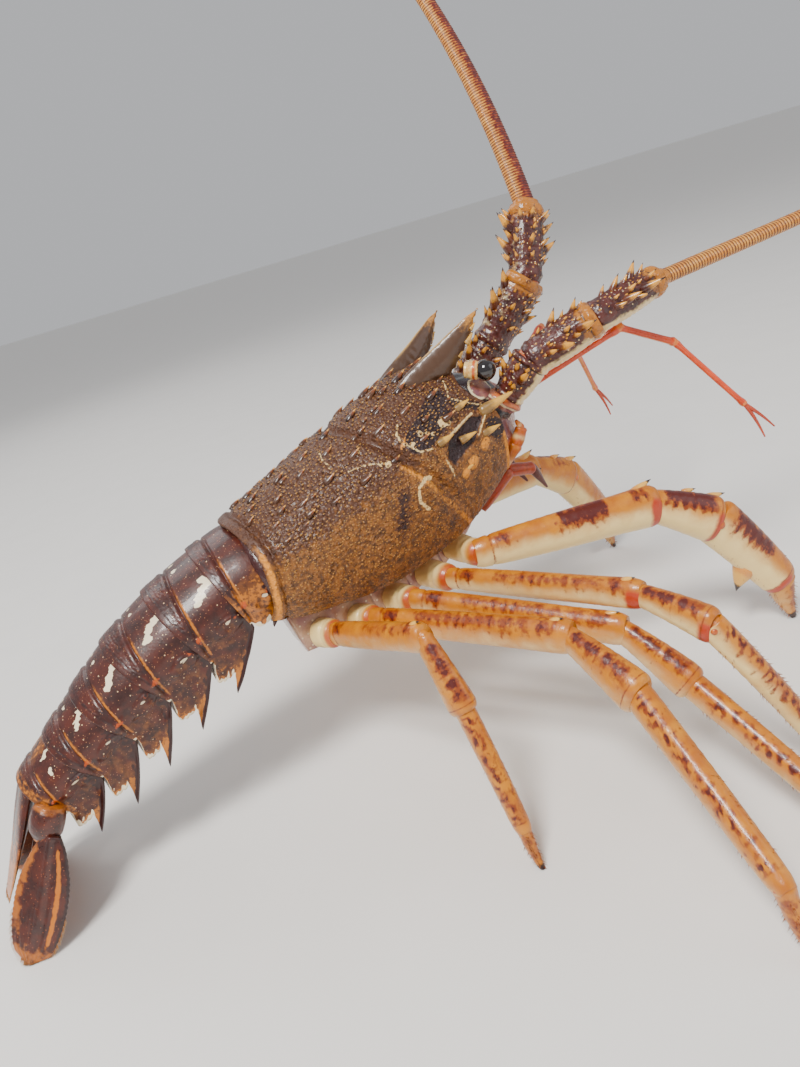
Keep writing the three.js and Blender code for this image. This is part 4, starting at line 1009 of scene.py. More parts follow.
# %% Mouth parts
def limb_of(piece, rows, sizes, marks, shape, around=28, rows_each=30):
    """A limb of several lengths; marks(k) paints length k."""
    joints = np.array(rows, float)
    for k, (near, far) in enumerate(sizes):
        last = k == len(sizes) - 1
        tube(piece, joints[k], joints[k + 1], near, far, profile=shape, mark=marks(k),
             around=around, rows=rows_each, ends=(-0.03, 1.0 if last else 1.03), power=1.0)


def mirrored(rows, mirror):
    """Places on the right side of the body (mirror -1) or the left (mirror 1)."""
    return [(x, y * mirror, z) for x, y, z in rows]


def jaw_marks(k):
    return lambda u, t, length: {"dark": 0.62 * (k == 2) + 0.3 + 0 * u, "warm": 0.7 + 0 * u}


def palp_marks(k):
    return lambda u, t, length: {"warm": 0.5 + 0 * u, "pale": 0.7 * hump(u - 0.5, 0.2)}


mouth_shape = curve_through([[-0.05, 0.8], [0.1, 0.95], [0.4, 1.04], [0.8, 1.0], [0.95, 1.05],
                             [1.05, 0.75]])
for side_name, mirror in (("right", -1), ("left", 1)):
    jaw_leg = Piece()
    limb_of(jaw_leg, mirrored([(136, 13, -6), (160, 15, 6), (176, 14, -2), (182, 11, -20)], mirror),
            [((4.5, 4), (5, 4.5)), ((4.4, 4), (4, 3.6)), ((3.4, 3.4), (0.7, 0.7))],
            jaw_marks, mouth_shape)
    name = f"jaw_leg_{side_name}"
    show(name, jaw_leg.mesh(name), LEG_FINISH, "antennule", f"maxilliped_{side_name}")
    palp = Piece()
    limb_of(palp, mirrored([(150, 20, 10), (166, 27, 22), (172, 29, 30), (170, 30, 36)], mirror),
            [((2.6, 3.4), (3.0, 4.0)), ((3.0, 4.0), (2.8, 3.4)), ((2.2, 2.6), (0.8, 0.9))],
            palp_marks, mouth_shape)
    show(f"palp_{side_name}", palp.mesh(f"palp_{side_name}"), LEG_FINISH, "antennule")

# %% [markdown]
# The breastplate closes the body between the legs: a pale shield that widens to the rear, with a
# furrow across it between each pair of legs and a pale spot at each hip. It is a skin across the
# body below and a roof hidden inside the carapace.

# %% Breastplate
breast_wide = curve_through([[4, 27], [30, 26.5], [60, 23.5], [85, 20.5], [108, 17.5], [134, 12]])
breast_low = curve_through([[4, -20], [30, -24], [60, -28], [85, -28], [108, -24], [134, -12]])
x = np.linspace(4, 134, 150)[:, None]
turn = np.linspace(-1, 1, 70)[None, :]
wide = breast_wide(x)
y = turn * wide
low = breast_low(x) + 6 * np.clip((np.abs(turn) - 0.4) / 0.6, 0, 1) ** 1.3
hips = np.array([(108, 17), (85, 19.5), (61, 22.5), (37, 25.5), (15, 26.5)])
boss = sum(hump(np.hypot(x - hx, np.abs(y) - hy), 6.0) for hx, hy in hips)
furrow = sum(hump(x - fx, 1.2) for fx in (97, 73, 49, 26))
low = low + 1.0 * furrow + 0.8 * hump(y, 1.2) - 0.4 * swirl(np.stack([x + 0 * y, y], -1), 18, 6)
skin = np.stack([x + 0 * y, y, low], -1)
roof = np.stack([x + 0 * y, y * 0.98, lower_edge(x) + 6 + 0 * y], -1)[:, ::-6]
BREAST_FINISH = shell("breast shell", "cda07c", "a87468", patch=9, gloss=0.32, coat=0.5,
                      dots=(("e9d3b0", 3.0, 0.25, None),), relief=((4.0, 0.3), (1.0, 0.1)),
                      layers=(("dark", "6d3438", 4, 0.6, 0.2), ("pale", "ecd9b8", 5, 0.6, 0.25)))
breast = Piece()
dark = np.concatenate([most(0.8 * furrow + 0 * y, 0.7 * hump(y, 1.4)), 0 * roof[..., 0]], 1)
pale = np.concatenate([np.clip(boss, 0, 1) * 0.9, 0 * roof[..., 0]], 1)
breast.rings(np.concatenate([skin, roof], 1), dark=dark, pale=pale)
show("breast_shell", breast.mesh("breast_shell"), BREAST_FINISH, "pale", "breastplate")
print("breastplate", round(float(breast_low(60)), 1), "mm lowest")

# %% [markdown]
# ## Antennae
# Each antenna is a thick thorny stem of three lengths and then a long whip of fine rings. The
# stem's lengths are tubes, taller than wide or wider than tall as each side shows. Thorns stand in
# rows along them, and small ones are sown between the rows.

# %% The stems
PEDUNCLE_SIZES = {"right": [((9.5, 9), (11, 10.5)), ((11, 10.5), (10.5, 10)),
                            ((10, 9.5), (8.5, 8))],
                  "left": [((9, 9.5), (10, 12)), ((10, 12), (10, 12.8)), ((9.5, 10.5), (8.5, 10))]}
STEM_FINISH = shell("antenna stem", "340e0c", "56221a", patch=5, edge=0.2, gloss=0.36, coat=0.35,
                    dots=(("b87a2a", 3.4, 0.24, None), ("f4dca0", 2.9, 0.17, None)),
                    layers=(("pale", "ecd090", 4, 1.0, 0.2), ("warm", "b26c14", 4, 1.2, 0.14),
                            ("tip", "a8321a", 3, 0.6, 0.2), ("dark", "1c0606", 4, 0.7, 0.15)),
                    relief=((2.2, 0.4), (0.8, 0.15)), grain=((2.6, 0.35),))
stem_shape = curve_through([[-0.05, 0.76], [0.0, 0.9], [0.06, 0.98], [0.12, 0.94], [0.3, 1.0],
                            [0.6, 1.03], [0.84, 1.0], [0.88, 0.96], [0.93, 1.05], [1.0, 1.03],
                            [1.05, 0.88]])
SPINE_TURNS = {"right": ((8, 1.05, 4), (35, 0.7, 3), (90, 0.9, 4), (145, 0.7, 3), (172, 1.05, 4),
                         (200, 0.6, 3)), "left": ((78, 0.9, 4), (95, 1.05, 4), (135, 0.7, 3),
                                                  (180, 0.8, 3), (225, 0.7, 3), (268, 1.1, 4),
                                                  (288, 0.9, 3))}


def stem_relief(u, t, length):
    ribs = 0.5 * hump(np.sin(t * 3), 0.3) * rise(u, 0.1, 0.3)
    return 0.35 * studs(u * length, t * 9, 2.9, 4) + ribs


stem_spines = Thorns()
stem_red = Piece()
draw = np.random.default_rng(8)
for side_name, mirror in (("right", -1), ("left", 1)):
    joints = [np.array(p, float) for p in joint_rows[side_name]]
    for k, (near, far) in enumerate(PEDUNCLE_SIZES[side_name]):
        def mark(u, t, length, k=k, mirror=mirror, side_name=side_name):
            below = -np.cos(t)
            cream = rise(below, 0.1, 0.7) * (0.85 if side_name == "right" else 0.3)
            ochre = 0.56 * rise(u, 0.66, 0.92) * (k > 0) + 0.1
            inner = rise(np.sin(t) * mirror, 0.0, 0.8)
            return {"pale": cream, "warm": ochre, "tip": 0.9 * patch(u * length, 2.4, 1.2) * inner,
                    "dark": 0.62 * hump((u - 0.88) * length, 0.8)}
        part = Piece()
        axis, side, top, length = tube(
            part, joints[k], joints[k + 1], near, far, up=ANTENNA_UP[side_name], profile=stem_shape,
            mark=mark, relief=stem_relief, rows=80, around=60, ends=(-0.04, 1.04), power=0.95)
        word = ("base", "middle", "end")[k]
        name = f"stem_{side_name}_{word}"
        show(name, part.mesh(name), STEM_FINISH, "peduncle", f"antenna_{side_name}_{word}")
        if k:
            stem_red.rings([oval(joints[k] + axis * a * 8, side, top,
                                 near[0] * 0.8 * math.sqrt(1 - 0.8 * a * a),
                                 near[1] * 0.8 * math.sqrt(1 - 0.8 * a * a), 30)
                            for a in np.linspace(-0.8, 0.8, 9)])
        for turn_at, size, count in SPINE_TURNS[side_name]:
            count += k - 1
            for i in range(count):
                place = 0.16 + 0.74 * (i + 0.5 + draw.uniform(-0.15, 0.15)) / count
                t = math.radians(turn_at + draw.uniform(-9, 9))
                out = side * math.cos(t) + top * math.sin(t)
                half = [near[j] + (far[j] - near[j]) * place for j in (0, 1)]
                root = joints[k] + axis * length * place + 0.92 * (
                    side * math.cos(t) * half[0] + top * math.sin(t) * half[1])
                tall = 10.5 * size * (0.72 + 0.36 * (i % 2)) * draw.uniform(0.85, 1.1)
                stem_spines.add(root, axis * 0.72 + out, tall, 0.52 * tall, axis,
                                pale=draw.uniform(0, 0.6))
        for _ in range((60, 90, 100)[k]):
            t, place = draw.uniform(0, 2 * math.pi), draw.uniform(0.1, 0.95)
            if side_name == "right" and math.sin(t) < -0.2:
                continue
            out = side * math.cos(t) + top * math.sin(t)
            half = [near[j] + (far[j] - near[j]) * place for j in (0, 1)]
            root = joints[k] + axis * length * place + 0.96 * float(stem_shape(place)) * (
                side * math.cos(t) * half[0] + top * math.sin(t) * half[1])
            size = draw.uniform(1.2, 3.6) * (1 if math.sin(t) > -0.2 else 0.6)
            stem_spines.add(root, axis + out * 0.9, size, size * 0.72, axis,
                            pale=draw.uniform(0.4, 1))
STEM_TIPS = tipped("stem spine", "3a0f0a", "7a3c14", "e09a2a", "2a0e08", 0.42, 0.84)
show("stem_spines", stem_spines.mesh("stem_spines", STEM_TIPS, sides=10, rings=6, hook=0.22),
     STEM_TIPS, "peduncle")
show("stem_joints", stem_red.mesh("stem_joints"), SKIN_RED, "peduncle")
print("stem spines:", made["stem_spines"], "faces")

# %% [markdown]
# One Geometry Nodes tree turns a path into a ringed whip. It resamples the path finely, widens
# and narrows the radius ring by ring, and writes down for each point which way it looks, so that
# a stripe can be painted along one side. Pressing the round whip to an oval comes after it.

# %% The whip tree
def whip_tree():
    graph, given = open_tree("whip",
                             (("Root radius", "Float", 0.006), ("Tip radius", "Float", 0.0009),
                              ("Ring length", "Float", 0.0016), ("Ring depth", "Float", 0.06),
                              ("Step", "Float", 0.0004), ("Sides", "Int", 16),
                              ("Stripe side", "Vector", (0, -1, 0))))
    line = graph.node("GeometryNodeMeshToCurve", {"Mesh": given["Geometry"]})
    smooth = graph.node("GeometryNodeCurveSplineType", {"Curve": line}, spline_type="CATMULL_ROM")
    fine = graph.node("GeometryNodeResampleCurve", {"Curve": smooth, "Length": given["Step"]},
                      mode="LENGTH")
    share = graph.node("GeometryNodeSplineParameter", output="Factor")
    along = graph.node("GeometryNodeSplineParameter", output="Length")
    slim = given["Tip radius"] + (given["Root radius"] - given["Tip radius"]) * (1 - share) ** 0.85
    phase = along / given["Ring length"]
    saw = graph.node("ShaderNodeMath", (phase,), operation="FRACT")
    ring = 1 - given["Ring depth"] * saw
    profile = graph.node("GeometryNodeCurvePrimitiveCircle",
                         {"Resolution": given["Sides"], "Radius": 1.0})
    for name, value in (("tip", share), ("warm", saw)):
        fine = graph.node("GeometryNodeStoreNamedAttribute",
                          {"Geometry": fine, "Name": name, "Value": value}, data_type="FLOAT",
                          domain="POINT")
    body = graph.node("GeometryNodeCurveToMesh", {"Curve": fine, "Profile Curve": profile,
                                                  "Scale": slim * ring, "Fill Caps": True})
    normal = graph.node("GeometryNodeInputNormal")
    facing = graph.node("ShaderNodeVectorMath", (normal, given["Stripe side"]), output="Value",
                        operation="DOT_PRODUCT")
    body = graph.node("GeometryNodeStoreNamedAttribute",
                      {"Geometry": body, "Name": "dark", "Value": facing}, data_type="FLOAT",
                      domain="POINT")
    return close_tree(graph, body, given["Finish"])


WHIP_TREE = whip_tree()


def whip(points, name, finish, **values):
    path = bpy.data.meshes.new(name + "_path")
    placed = metres(level(np.array(points)))
    path.from_pydata(placed.tolist(), [(k, k + 1) for k in range(len(placed) - 1)], [])
    return grown(WHIP_TREE, path, name, Finish=finish, **values)


WHIP_SIDES, WHIP_TIP = 22, 0.0009


def flattened(mesh, up, halves):
    """Presses a round whip to an oval: halves are its half sizes at the root, side first."""
    flat = np.empty(len(mesh.vertices) * 3)
    mesh.vertices.foreach_get("co", flat)
    rings = flat.reshape(-1, WHIP_SIDES, 3)
    middles = rings.mean(1)
    axis = unit(np.gradient(middles, axis=0))
    side = unit(np.cross(axis, up))
    share = (1 - np.linspace(0, 1, len(rings))) ** 0.85
    now = WHIP_TIP + (max(halves) - WHIP_TIP) * share
    for way, half in ((side, halves[0]), (np.cross(side, axis), halves[1])):
        press = (WHIP_TIP + (half - WHIP_TIP) * share) / now - 1
        off = np.sum((rings - middles[:, None]) * way[:, None], -1, keepdims=True)
        rings = rings + off * press[:, None, None] * way[:, None]
    mesh.vertices.foreach_set("co", rings.ravel())
    mesh.update()
    return mesh


# %% [markdown]
# The whip's path is a chain of short steps whose heading and lift turn a little with each one,
# as a springy rod bends. The right whip reaches forward, the left one is raised and bent back.

# %% The whips
def whip_path(start, heading, lift, heading_turn, lift_turn, length=470.0, steps=27):
    points = [np.asarray(start, float)]
    for k in range(steps):
        far = k * length / steps / 100
        yaw = math.radians(heading + heading_turn * far)
        pitch = math.radians(lift + lift_turn * far * far - 10 * math.cos(yaw))
        way = np.array([math.cos(pitch) * math.cos(yaw), math.cos(pitch) * math.sin(yaw),
                        math.sin(pitch)])
        points.append(points[-1] + way * length / steps)
    return points


WHIP_FINISH = shell("whip", "cf8222", "dc9a3c", patch=5, gloss=0.44, coat=0.25,
                    layers=(("warm", "6e3a10", 1.5, 0.25, 0.2),
                            ("dark", "8a2c0a", 2.4, 0.7, 0.12, 0.74),
                            ("dark", "540c06", 2.4, 1.1, 0.14, 0.86)), relief=((1.0, 0.12),))
WHIPS = {"right": dict(heading=-13, lift=6, heading_turn=-5, lift_turn=1.5,
                       stripe=(-0.25, 0.75, 0.5), halves=(0.0066, 0.0044)),
         "left": dict(heading=58, lift=69, heading_turn=19, lift_turn=-3.5,
                      stripe=(0.4, -0.95, 0.1), halves=(0.0046, 0.007))}
for side_name, facts in WHIPS.items():
    joints = [np.array(p, float) for p in joint_rows[side_name]]
    last = unit(joints[3] - joints[2])
    points = whip_path(joints[3], facts["heading"], facts["lift"], facts["heading_turn"],
                       facts["lift_turn"])
    points = [joints[3] - last * 3] + points
    mesh = whip(points, f"whip_{side_name}", WHIP_FINISH, **{
        "Root radius": max(facts["halves"]), "Tip radius": WHIP_TIP, "Ring length": 0.0017,
        "Ring depth": 0.08, "Step": 0.0003, "Sides": WHIP_SIDES, "Stripe side": facts["stripe"]})
    upward = level(np.array(ANTENNA_UP[side_name], float)) - level(np.zeros(3))
    mesh = flattened(mesh, upward, facts["halves"])
    show(f"ringed_whip_{side_name}", mesh, WHIP_FINISH, "antenna",
         *(f"whip_{side_name}_{k}" for k in (1, 2, 3)))
    collar = Piece()
    axis, side, top = limb_frame(joints[2], joints[3], ANTENNA_UP[side_name])
    stations = np.linspace(-7, 5, 26)
    size = 1.05 - 0.12 * rise(stations, 1, 5) + 0.1 * hump(stations + 1, 1.2)
    wide, tall = (half * 1000 * 1.18 for half in facts["halves"])
    collar.rings([oval(joints[3] + axis * t, side, top, wide * r, tall * r, 40) for t,
                  r in zip(stations, size)], warm=np.full((26, 1), 0.75),
                 dark=(0.8 * hump(stations - 1, 0.8))[:, None])
    show(f"whip_collar_{side_name}", collar.mesh(f"whip_collar_{side_name}"), STEM_FINISH,
         "peduncle")
print("whip faces:", made["ringed_whip_left"])

# %% [markdown]
# The antennules are thin orange-red feelers of three lengths, and each ends in two short whips.
# The limb loop makes the lengths, and the whip tree makes the ends, with deeper rings.

# %% Antennules
ANTENNULE_JOINTS = [(174, 5, 40), (247, 40, 54), (272, 50, 32), (290, 70, -17), (296, 72, -42)]
ANTENNULE_TWIN = [(290, 70, -17), (302, 75, -38)]
ANTENNULE_FINISH = shell("antennule", "dc4a0e", "c83c0a", patch=9, gloss=0.3, coat=0.5,
                         layers=(("pale", "f0a050", 5, 0.6, 0.3), ("warm", "a83208", 3, 0.5, 0.3),
                                 ("dark", "e87a2a", 3, 0.5, 0.2)), relief=((3.0, 0.15),))
slim = curve_through([[-0.03, 0.8], [0.03, 1.1], [0.1, 0.9], [0.5, 0.92], [0.9, 1.0], [0.97, 1.25],
                      [1.03, 0.9]])


def antennule_marks(u, t, length):
    ends = most(patch(u * length, 1.6, 1), patch((1 - u) * length, 1.6, 1))
    return {"pale": 0.55 * rise(-np.cos(t), 0.3, 0.9), "dark": ends * 0.8}


for side_name, mirror in (("right", -1), ("left", 1)):
    stem = Piece()
    limb_of(stem, mirrored(ANTENNULE_JOINTS[:4], mirror),
            [((2.8, 2.8), (2.4, 2.4)), ((2.2, 2.2), (2.1, 2.1)), ((2, 2), (1.7, 1.7))],
            lambda k: antennule_marks, slim, around=24, rows_each=60)
    name = f"antennule_stem_{side_name}"
    show(name, stem.mesh(name), ANTENNULE_FINISH, "antennule", f"antennule_{side_name}")
    for twin, (start, end) in (("outer", ANTENNULE_JOINTS[3:]), ("inner", ANTENNULE_TWIN)):
        start, end = np.array(mirrored([start, end], mirror))
        line = [start + (end - start) * t + np.array([0.8, 0, 0]) * math.sin(t * 3.1)
                for t in np.linspace(0, 1, 9)]
        mesh = whip(line, twin, ANTENNULE_FINISH, **{
            "Root radius": 0.0014, "Tip radius": 0.0005, "Ring length": 0.0008,
            "Ring depth": 0.22, "Step": 0.0002, "Sides": 10, "Stripe side": (0, 0, 0.5)})
        show(f"antennule_{twin}_{side_name}", mesh, ANTENNULE_FINISH, "antennule")
print("antennules done")

# %% [markdown]
# ## The tail
# Six rings (tergites) overlap like roof tiles, each with a step across its back, and each
# carries a hanging plate (pleuron) at both sides: a curved spine in front, a scalloped flap
# behind. Ring and plates are one piece of shell on the animal, so they are one skin here. The
# section runs from the point of the left plate, over the back, to the point of the right one,
# and returns inside. How far down it hangs is read from the outline of the plate.

# %% Lines of the tail
TERGITE_LENGTHS = [21, 31.5, 33, 29, 26, 25]
TERGITE_SLOPES = [-8, -12, -19, -26.5, -27.5, -28]
TAIL_HALF_WIDTHS = [37, 36, 34.5, 32, 29, 26, 22.5]
TAIL_DEPTHS = [46, 44.5, 42, 38, 34.5, 31, 26]
TAIL_TOP = 64.5
PLEURON_DROPS = [12, 29, 30, 30, 29, 24]
PLEURON_SWEEPS = [5, 21, 22, 23, 24, 20]
PLEURON_STRAIGHT = 6.5
ROOT_ANGLE = 111.0
MM_DOWN_PER_DEGREE = 0.66


def ahead_of(slope):
    slope = np.radians(slope)
    return np.stack([-np.cos(slope), 0 * slope, np.sin(slope)], -1)


def over(slope):
    slope = np.radians(slope)
    return np.stack([np.sin(slope), 0 * slope, np.cos(slope)], -1)


tail_points = [np.array([0.0, 0.0, TAIL_TOP])]
tail_slopes = [TERGITE_SLOPES[0]]
for k, length in enumerate(TERGITE_LENGTHS):
    tail_points.append(tail_points[k] + ahead_of(np.array(TERGITE_SLOPES[k], float)) * length)
    tail_slopes.append((TERGITE_SLOPES[k] + TERGITE_SLOPES[min(k + 1, 5)]) / 2)


def tail_station(k, share):
    """Top of the back, the way up, half width and depth, at a share of the way along a ring."""
    share = np.asarray(share, float)
    slope = tail_slopes[k] + (tail_slopes[k + 1] - tail_slopes[k]) * share
    top = tail_points[k] + (tail_points[k + 1] - tail_points[k]) * share[..., None]
    wide = TAIL_HALF_WIDTHS[k] + (TAIL_HALF_WIDTHS[k + 1] - TAIL_HALF_WIDTHS[k]) * share
    deep = TAIL_DEPTHS[k] + (TAIL_DEPTHS[k + 1] - TAIL_DEPTHS[k]) * share
    return top, over(slope), wide, deep


def bend(start, pull, end, steps=24):
    t = np.linspace(0, 1, steps)[:, None]
    return (1 - t) ** 2 * np.array(start) + 2 * t * (1 - t) * np.array(pull) + t * t * np.array(end)


PLEURON_EDGE = np.vstack([bend((0, 0), (0.02, 0.62), (0.4, 1.0)),
                          bend((0.4, 1.0), (0.42, 0.72), (0.52, 0.62)),
                          [(0.56, 0.645), (0.6, 0.655), (0.64, 0.645), (0.67, 0.62), (0.72, 0.635),
                           (0.77, 0.63), (0.80, 0.6), (0.84, 0.605), (0.88, 0.59), (0.93, 0.55),
                           (0.965, 0.45), (1.0, 0.2)]])


def hang(k, share):
    """How far the plate hangs below its root, in millimetres."""
    return PLEURON_DROPS[k] * np.interp(share, PLEURON_EDGE[:, 0], PLEURON_EDGE[:, 1], left=0.0,
                                        right=0.2)


print("tail length along the back:", sum(TERGITE_LENGTHS), "mm")

# %% Profile along one ring
ring_size = curve_through([[-0.14, 0.925], [0, 0.952], [0.2, 0.974], [0.5, 0.988], [0.8, 1.003],
                           [1.0, 1.016], [1.06, 1.012]])
BLOTCHES = {0: [], 1: [([(4, 29), (2, 33), (7, 34), (13.5, 40)], 2.3), ([(12, 5), (13, 6)], 1.0)],
            2: [([(2, 27), (8, 28), (14, 34)], 2.4), ([(12.5, 5), (13, 6)], 1.2)],
            3: [([(1, 26), (6, 29), (12.5, 35)], 2.2), ([(10, 6), (10.5, 7)], 1.1)],
            4: [([(0.5, 23), (4.7, 28), (9.4, 33)], 1.9), ([(8, 6), (8.5, 7)], 1.0)],
            5: [([(4, 20), (7, 23)], 1.4), ([(8, 36), (10, 40)], 1.2)]}


def groove_share(down):
    """Where the step across a ring lies: it leans back toward the hinge with the next ring."""
    return 0.55 + 0.3 * (np.asarray(down) / 58) ** 1.3


def leading_edge(k, place, down, root):
    """Millimetres behind the front edge of the ring and of its hanging plate."""
    drop = PLEURON_DROPS[k]
    return place - np.interp(down, root + drop * PLEURON_EDGE[:24, 1],
                             TERGITE_LENGTHS[k] * PLEURON_EDGE[:24, 0])


def tergite_fields(k, share, down):
    """down: mm from the midline round the section; the plate's root is at 73."""
    length, drop = TERGITE_LENGTHS[k], PLEURON_DROPS[k]
    place = share * length
    root = ROOT_ANGLE * MM_DOWN_PER_DEGREE
    edge = root + hang(k, share)
    depth = (down - root) / drop
    ragged = 1.3 * swirl(np.stack([place, down], -1), 4.5, 60 + k)
    pale = most(0 * share, *(patch(to_line(place, down, line) + 0.45 * ragged, radius, 0.5)
                             for line, radius in BLOTCHES[k]))
    lobes = rise(share, 0.42, 0.5) * rise(depth, 0.08, 0.2)
    pale = most(pale, 0.9 * patch(edge - down + 0.6 * ragged, 1.5, 0.8) * lobes,
                0.8 * patch(np.hypot(place - 0.3 * length, down - root + 9) + 0.4 * ragged, 1.6,
                            0.7))
    leading = leading_edge(k, place, down, root)
    spine = rise(depth, 0.45, 0.7) * (1 - rise(share, 0.46, 0.56))
    band = patch(leading + ragged, 5.0 if k else 3.0, 1.6) * rise(down, root - 26, root - 12)
    band = band * (1 - 0.9 * patch(4.2 - leading, 0, 1.4) * spine)
    dark = most(band, rise(depth, 0.93, 0.97) * (share < 0.5),
                0.6 * hump((share - 0.93) * length, 1.2) * (depth < 0))
    groove = (share - groove_share(down)) * length
    gold = (patch(np.abs(groove + 1.4), 0.7, 0.7) * rise(down, 14, 34)
            * (1 - rise(down, root, root + 6)))
    mottle = 0.24 * rise(down, root - 16, root - 2) + 0.12 * rise(depth, 0.25, 0.6)
    if k == 0:
        mottle = 0.62 * rise(down, 36, 58)
    if k == 5:
        mottle = most(mottle, 0.55 * patch(np.abs(share - 0.97) * length, 3.0, 1.5),
                      0.55 * hump(np.hypot(place - 6, down - 9), 11))
    rim = 0.85 * patch(edge - down, 2.4, 1.8) * lobes
    warm = most(0.95 * gold, mottle, rim)
    hinge = patch(np.hypot(place - 0.86 * length, down - 61) + 0.5 * ragged, 1.9, 1.4)
    front_hinge = patch(np.hypot(place - 0.14 * length, down - 63) + 0.4 * ragged, 1.6, 1.4)
    warm = most(warm, 0.9 * spine * rise(leading, 2.5, 5.0),
                0.8 * rise(depth, 0.8, 0.9) * (share < 0.5))
    tip = most(hinge, front_hinge, 0.3 * rim)
    return dark, pale, warm, tip


def tergite_relief(k, share, down):
    length, root = TERGITE_LENGTHS[k], ROOT_ANGLE * MM_DOWN_PER_DEGREE
    place = share * length
    boss = np.hypot((place - 0.34 * length) / 1.3, down - root + 6)
    lift = 1.3 * hump(boss, 5.5) - 0.9 * hump(boss - 1.0, 1.6) + 0.9 * hump(boss - 5.6, 1.5)
    groove = (share - groove_share(down)) * length
    lift = (lift - 1.0 * hump(groove, 0.9) * (1 - rise(down, root, root + 5))
            + 0.35 * hump(groove - 2.4, 1.6))
    lift = lift + 1.4 * hump(np.hypot(place - 0.86 * length, down - 61), 2.6)
    lift = (lift + 1.2 * hump(leading_edge(k, place, down, root) - 1.2, 1.5)
            * rise(down, root - 10, root))
    lift = (lift + 0.3 * swirl(np.stack([place, down], -1), 11, 31 + k)
            * rise(down, root - 20, root - 4))
    back = (1 - rise(down, root - 20, root - 6)) * rise(groove, 1, 3) * (1 - rise(share, 0.93, 1.0))
    return lift + 0.22 * back * studs(place, down, 1.7, 2.0)


def tergite_skin(piece, k):
    shares = np.concatenate([np.linspace(-0.14, 0.46, 44), np.linspace(0.472, 0.98, 46),
                             [1.0, 1.02, 1.04, 1.06]])
    sizes = ring_size(shares)
    lips = [(1.055, 0.985), (1.03, 0.962), (0.99, 0.95), (0.93, 0.94)]
    shares = np.concatenate([shares, [s for s, _ in lips]])[:, None]
    sizes = np.concatenate([sizes, [s for _, s in lips]])[:, None]
    top, up, wide, deep = tail_station(k, shares)
    half = np.linspace(0, ROOT_ANGLE, 66)[None, :]
    hanging = np.linspace(0, 1, 22)[1:][None, :]
    bell = hang(k, shares)
    turn = np.radians(half)
    low = np.where(np.cos(turn) >= 0, deep * 0.62,
                   deep * 0.38 / -math.cos(math.radians(LOWER_ANGLE)))
    out = wide * sizes * np.sin(turn)
    fall = deep * 0.62 - low * sizes * np.cos(turn)
    plate_out = out[:, -1:] - 0.1 * bell * hanging
    plate_fall = fall[:, -1:] + bell * hanging
    down = np.concatenate([half * MM_DOWN_PER_DEGREE + 0 * shares,
                           ROOT_ANGLE * MM_DOWN_PER_DEGREE + bell * hanging], 1)
    out, fall = np.concatenate([out, plate_out], 1), np.concatenate([fall, plate_fall], 1)
    share_grid = shares + 0 * down
    lift = tergite_relief(k, share_grid, down)
    lip = (np.arange(len(shares)) >= len(shares) - 4)[:, None]
    lift = np.where(lip, 0, lift)
    facing = np.minimum(np.radians(down / MM_DOWN_PER_DEGREE), math.pi / 2)
    out, fall = out + lift * np.sin(facing), fall - lift * np.cos(facing)
    thin = 2.4 - 1.7 * rise(hanging + 0 * bell, 0.3, 1.0)
    inner_out, inner_fall = (plate_out - thin)[:, ::-1], (plate_fall - 0.4 * thin)[:, ::-1]
    belly_depth = deep * (0.93 + 0.03 * np.cos(np.linspace(0, math.pi, 9)))
    belly_out = (out[:, 65:66] - 4.5) * np.linspace(1, 0, 9)[None, :]
    half_out = np.concatenate([out, inner_out, belly_out], 1)
    half_fall = np.concatenate([fall, inner_fall, belly_depth], 1)
    half_down = np.concatenate([down, down[:, :65:-1], 0 * belly_out + 200], 1)
    side_out = np.concatenate([half_out, -half_out[:, -2:0:-1]], 1)
    side_fall = np.concatenate([half_fall, half_fall[:, -2:0:-1]], 1)
    depth = np.concatenate([0 * half + 0 * shares, bell * hanging], 1)
    swept = (PLEURON_SWEEPS[k] * np.maximum(depth - PLEURON_STRAIGHT, 0)
             / (PLEURON_DROPS[k] - PLEURON_STRAIGHT))
    swept = np.concatenate([swept, swept[:, :65:-1], 0 * belly_out], 1)
    side_swept = np.concatenate([swept, swept[:, -2:0:-1]], 1)
    back_way = np.stack([-up[..., 2], 0 * up[..., 2], up[..., 0]], -1)
    rings = top - up * side_fall[..., None] + np.array([0, 1.0, 0]) * side_out[..., None]
    rings = rings + back_way * side_swept[..., None]
    fields = tergite_fields(k, shares + 0 * half_down, half_down)
    belly = (half_down > 150) * 1.0
    dark, pale, warm, tip = (np.where(belly > 0, 0, field) for field in fields)
    dark, pale, warm, tip = (np.concatenate([field, field[:, -2:0:-1]], 1)
                             for field in (dark, pale, warm, tip))
    return piece.rings(rings, dark=dark, pale=pale, warm=warm, tip=tip)


TAIL_FINISH = shell("tail shell", "501a0a", "2e0c06", patch=7, edge=0.2, gloss=0.42, coat=0.25,
                    dots=(("a8704c", 1.5, 0.19, None), ("e0bc90", 3.3, 0.13, None)),
                    layers=(("warm", "6e3c12", 4, 1.3, 0.2, 0.36),
                            ("warm", "ba6c14", 2.0, 1.5, 0.14, 0.6),
                            ("tip", "b84a04", 2, 0.9, 0.24), ("dark", "2c0906", 3.4, 0.9, 0.2),
                            ("pale", "f6e4c0", 3, 0.6, 0.07)), relief=((6.0, 0.2), (1.2, 0.12)))

for k in range(6):
    name = f"tail_ring_{k + 1}"
    show(name, tergite_skin(Piece(), k).mesh(name), TAIL_FINISH, "tail", f"abdomen_{k + 1}")
print("tail rings:", sum(made[f"tail_ring_{k + 1}"] for k in range(6)), "faces")

# %% [markdown]
# The swimmerets under the tail are thin flaps on a short stem, one at each side of rings 2 to 5.
# A blade of shell is the same kind of thing as the blades of the tail fan, so one function makes
# both: lens-shaped sections along a line, their width from a curve, with a keel and fine ribs.

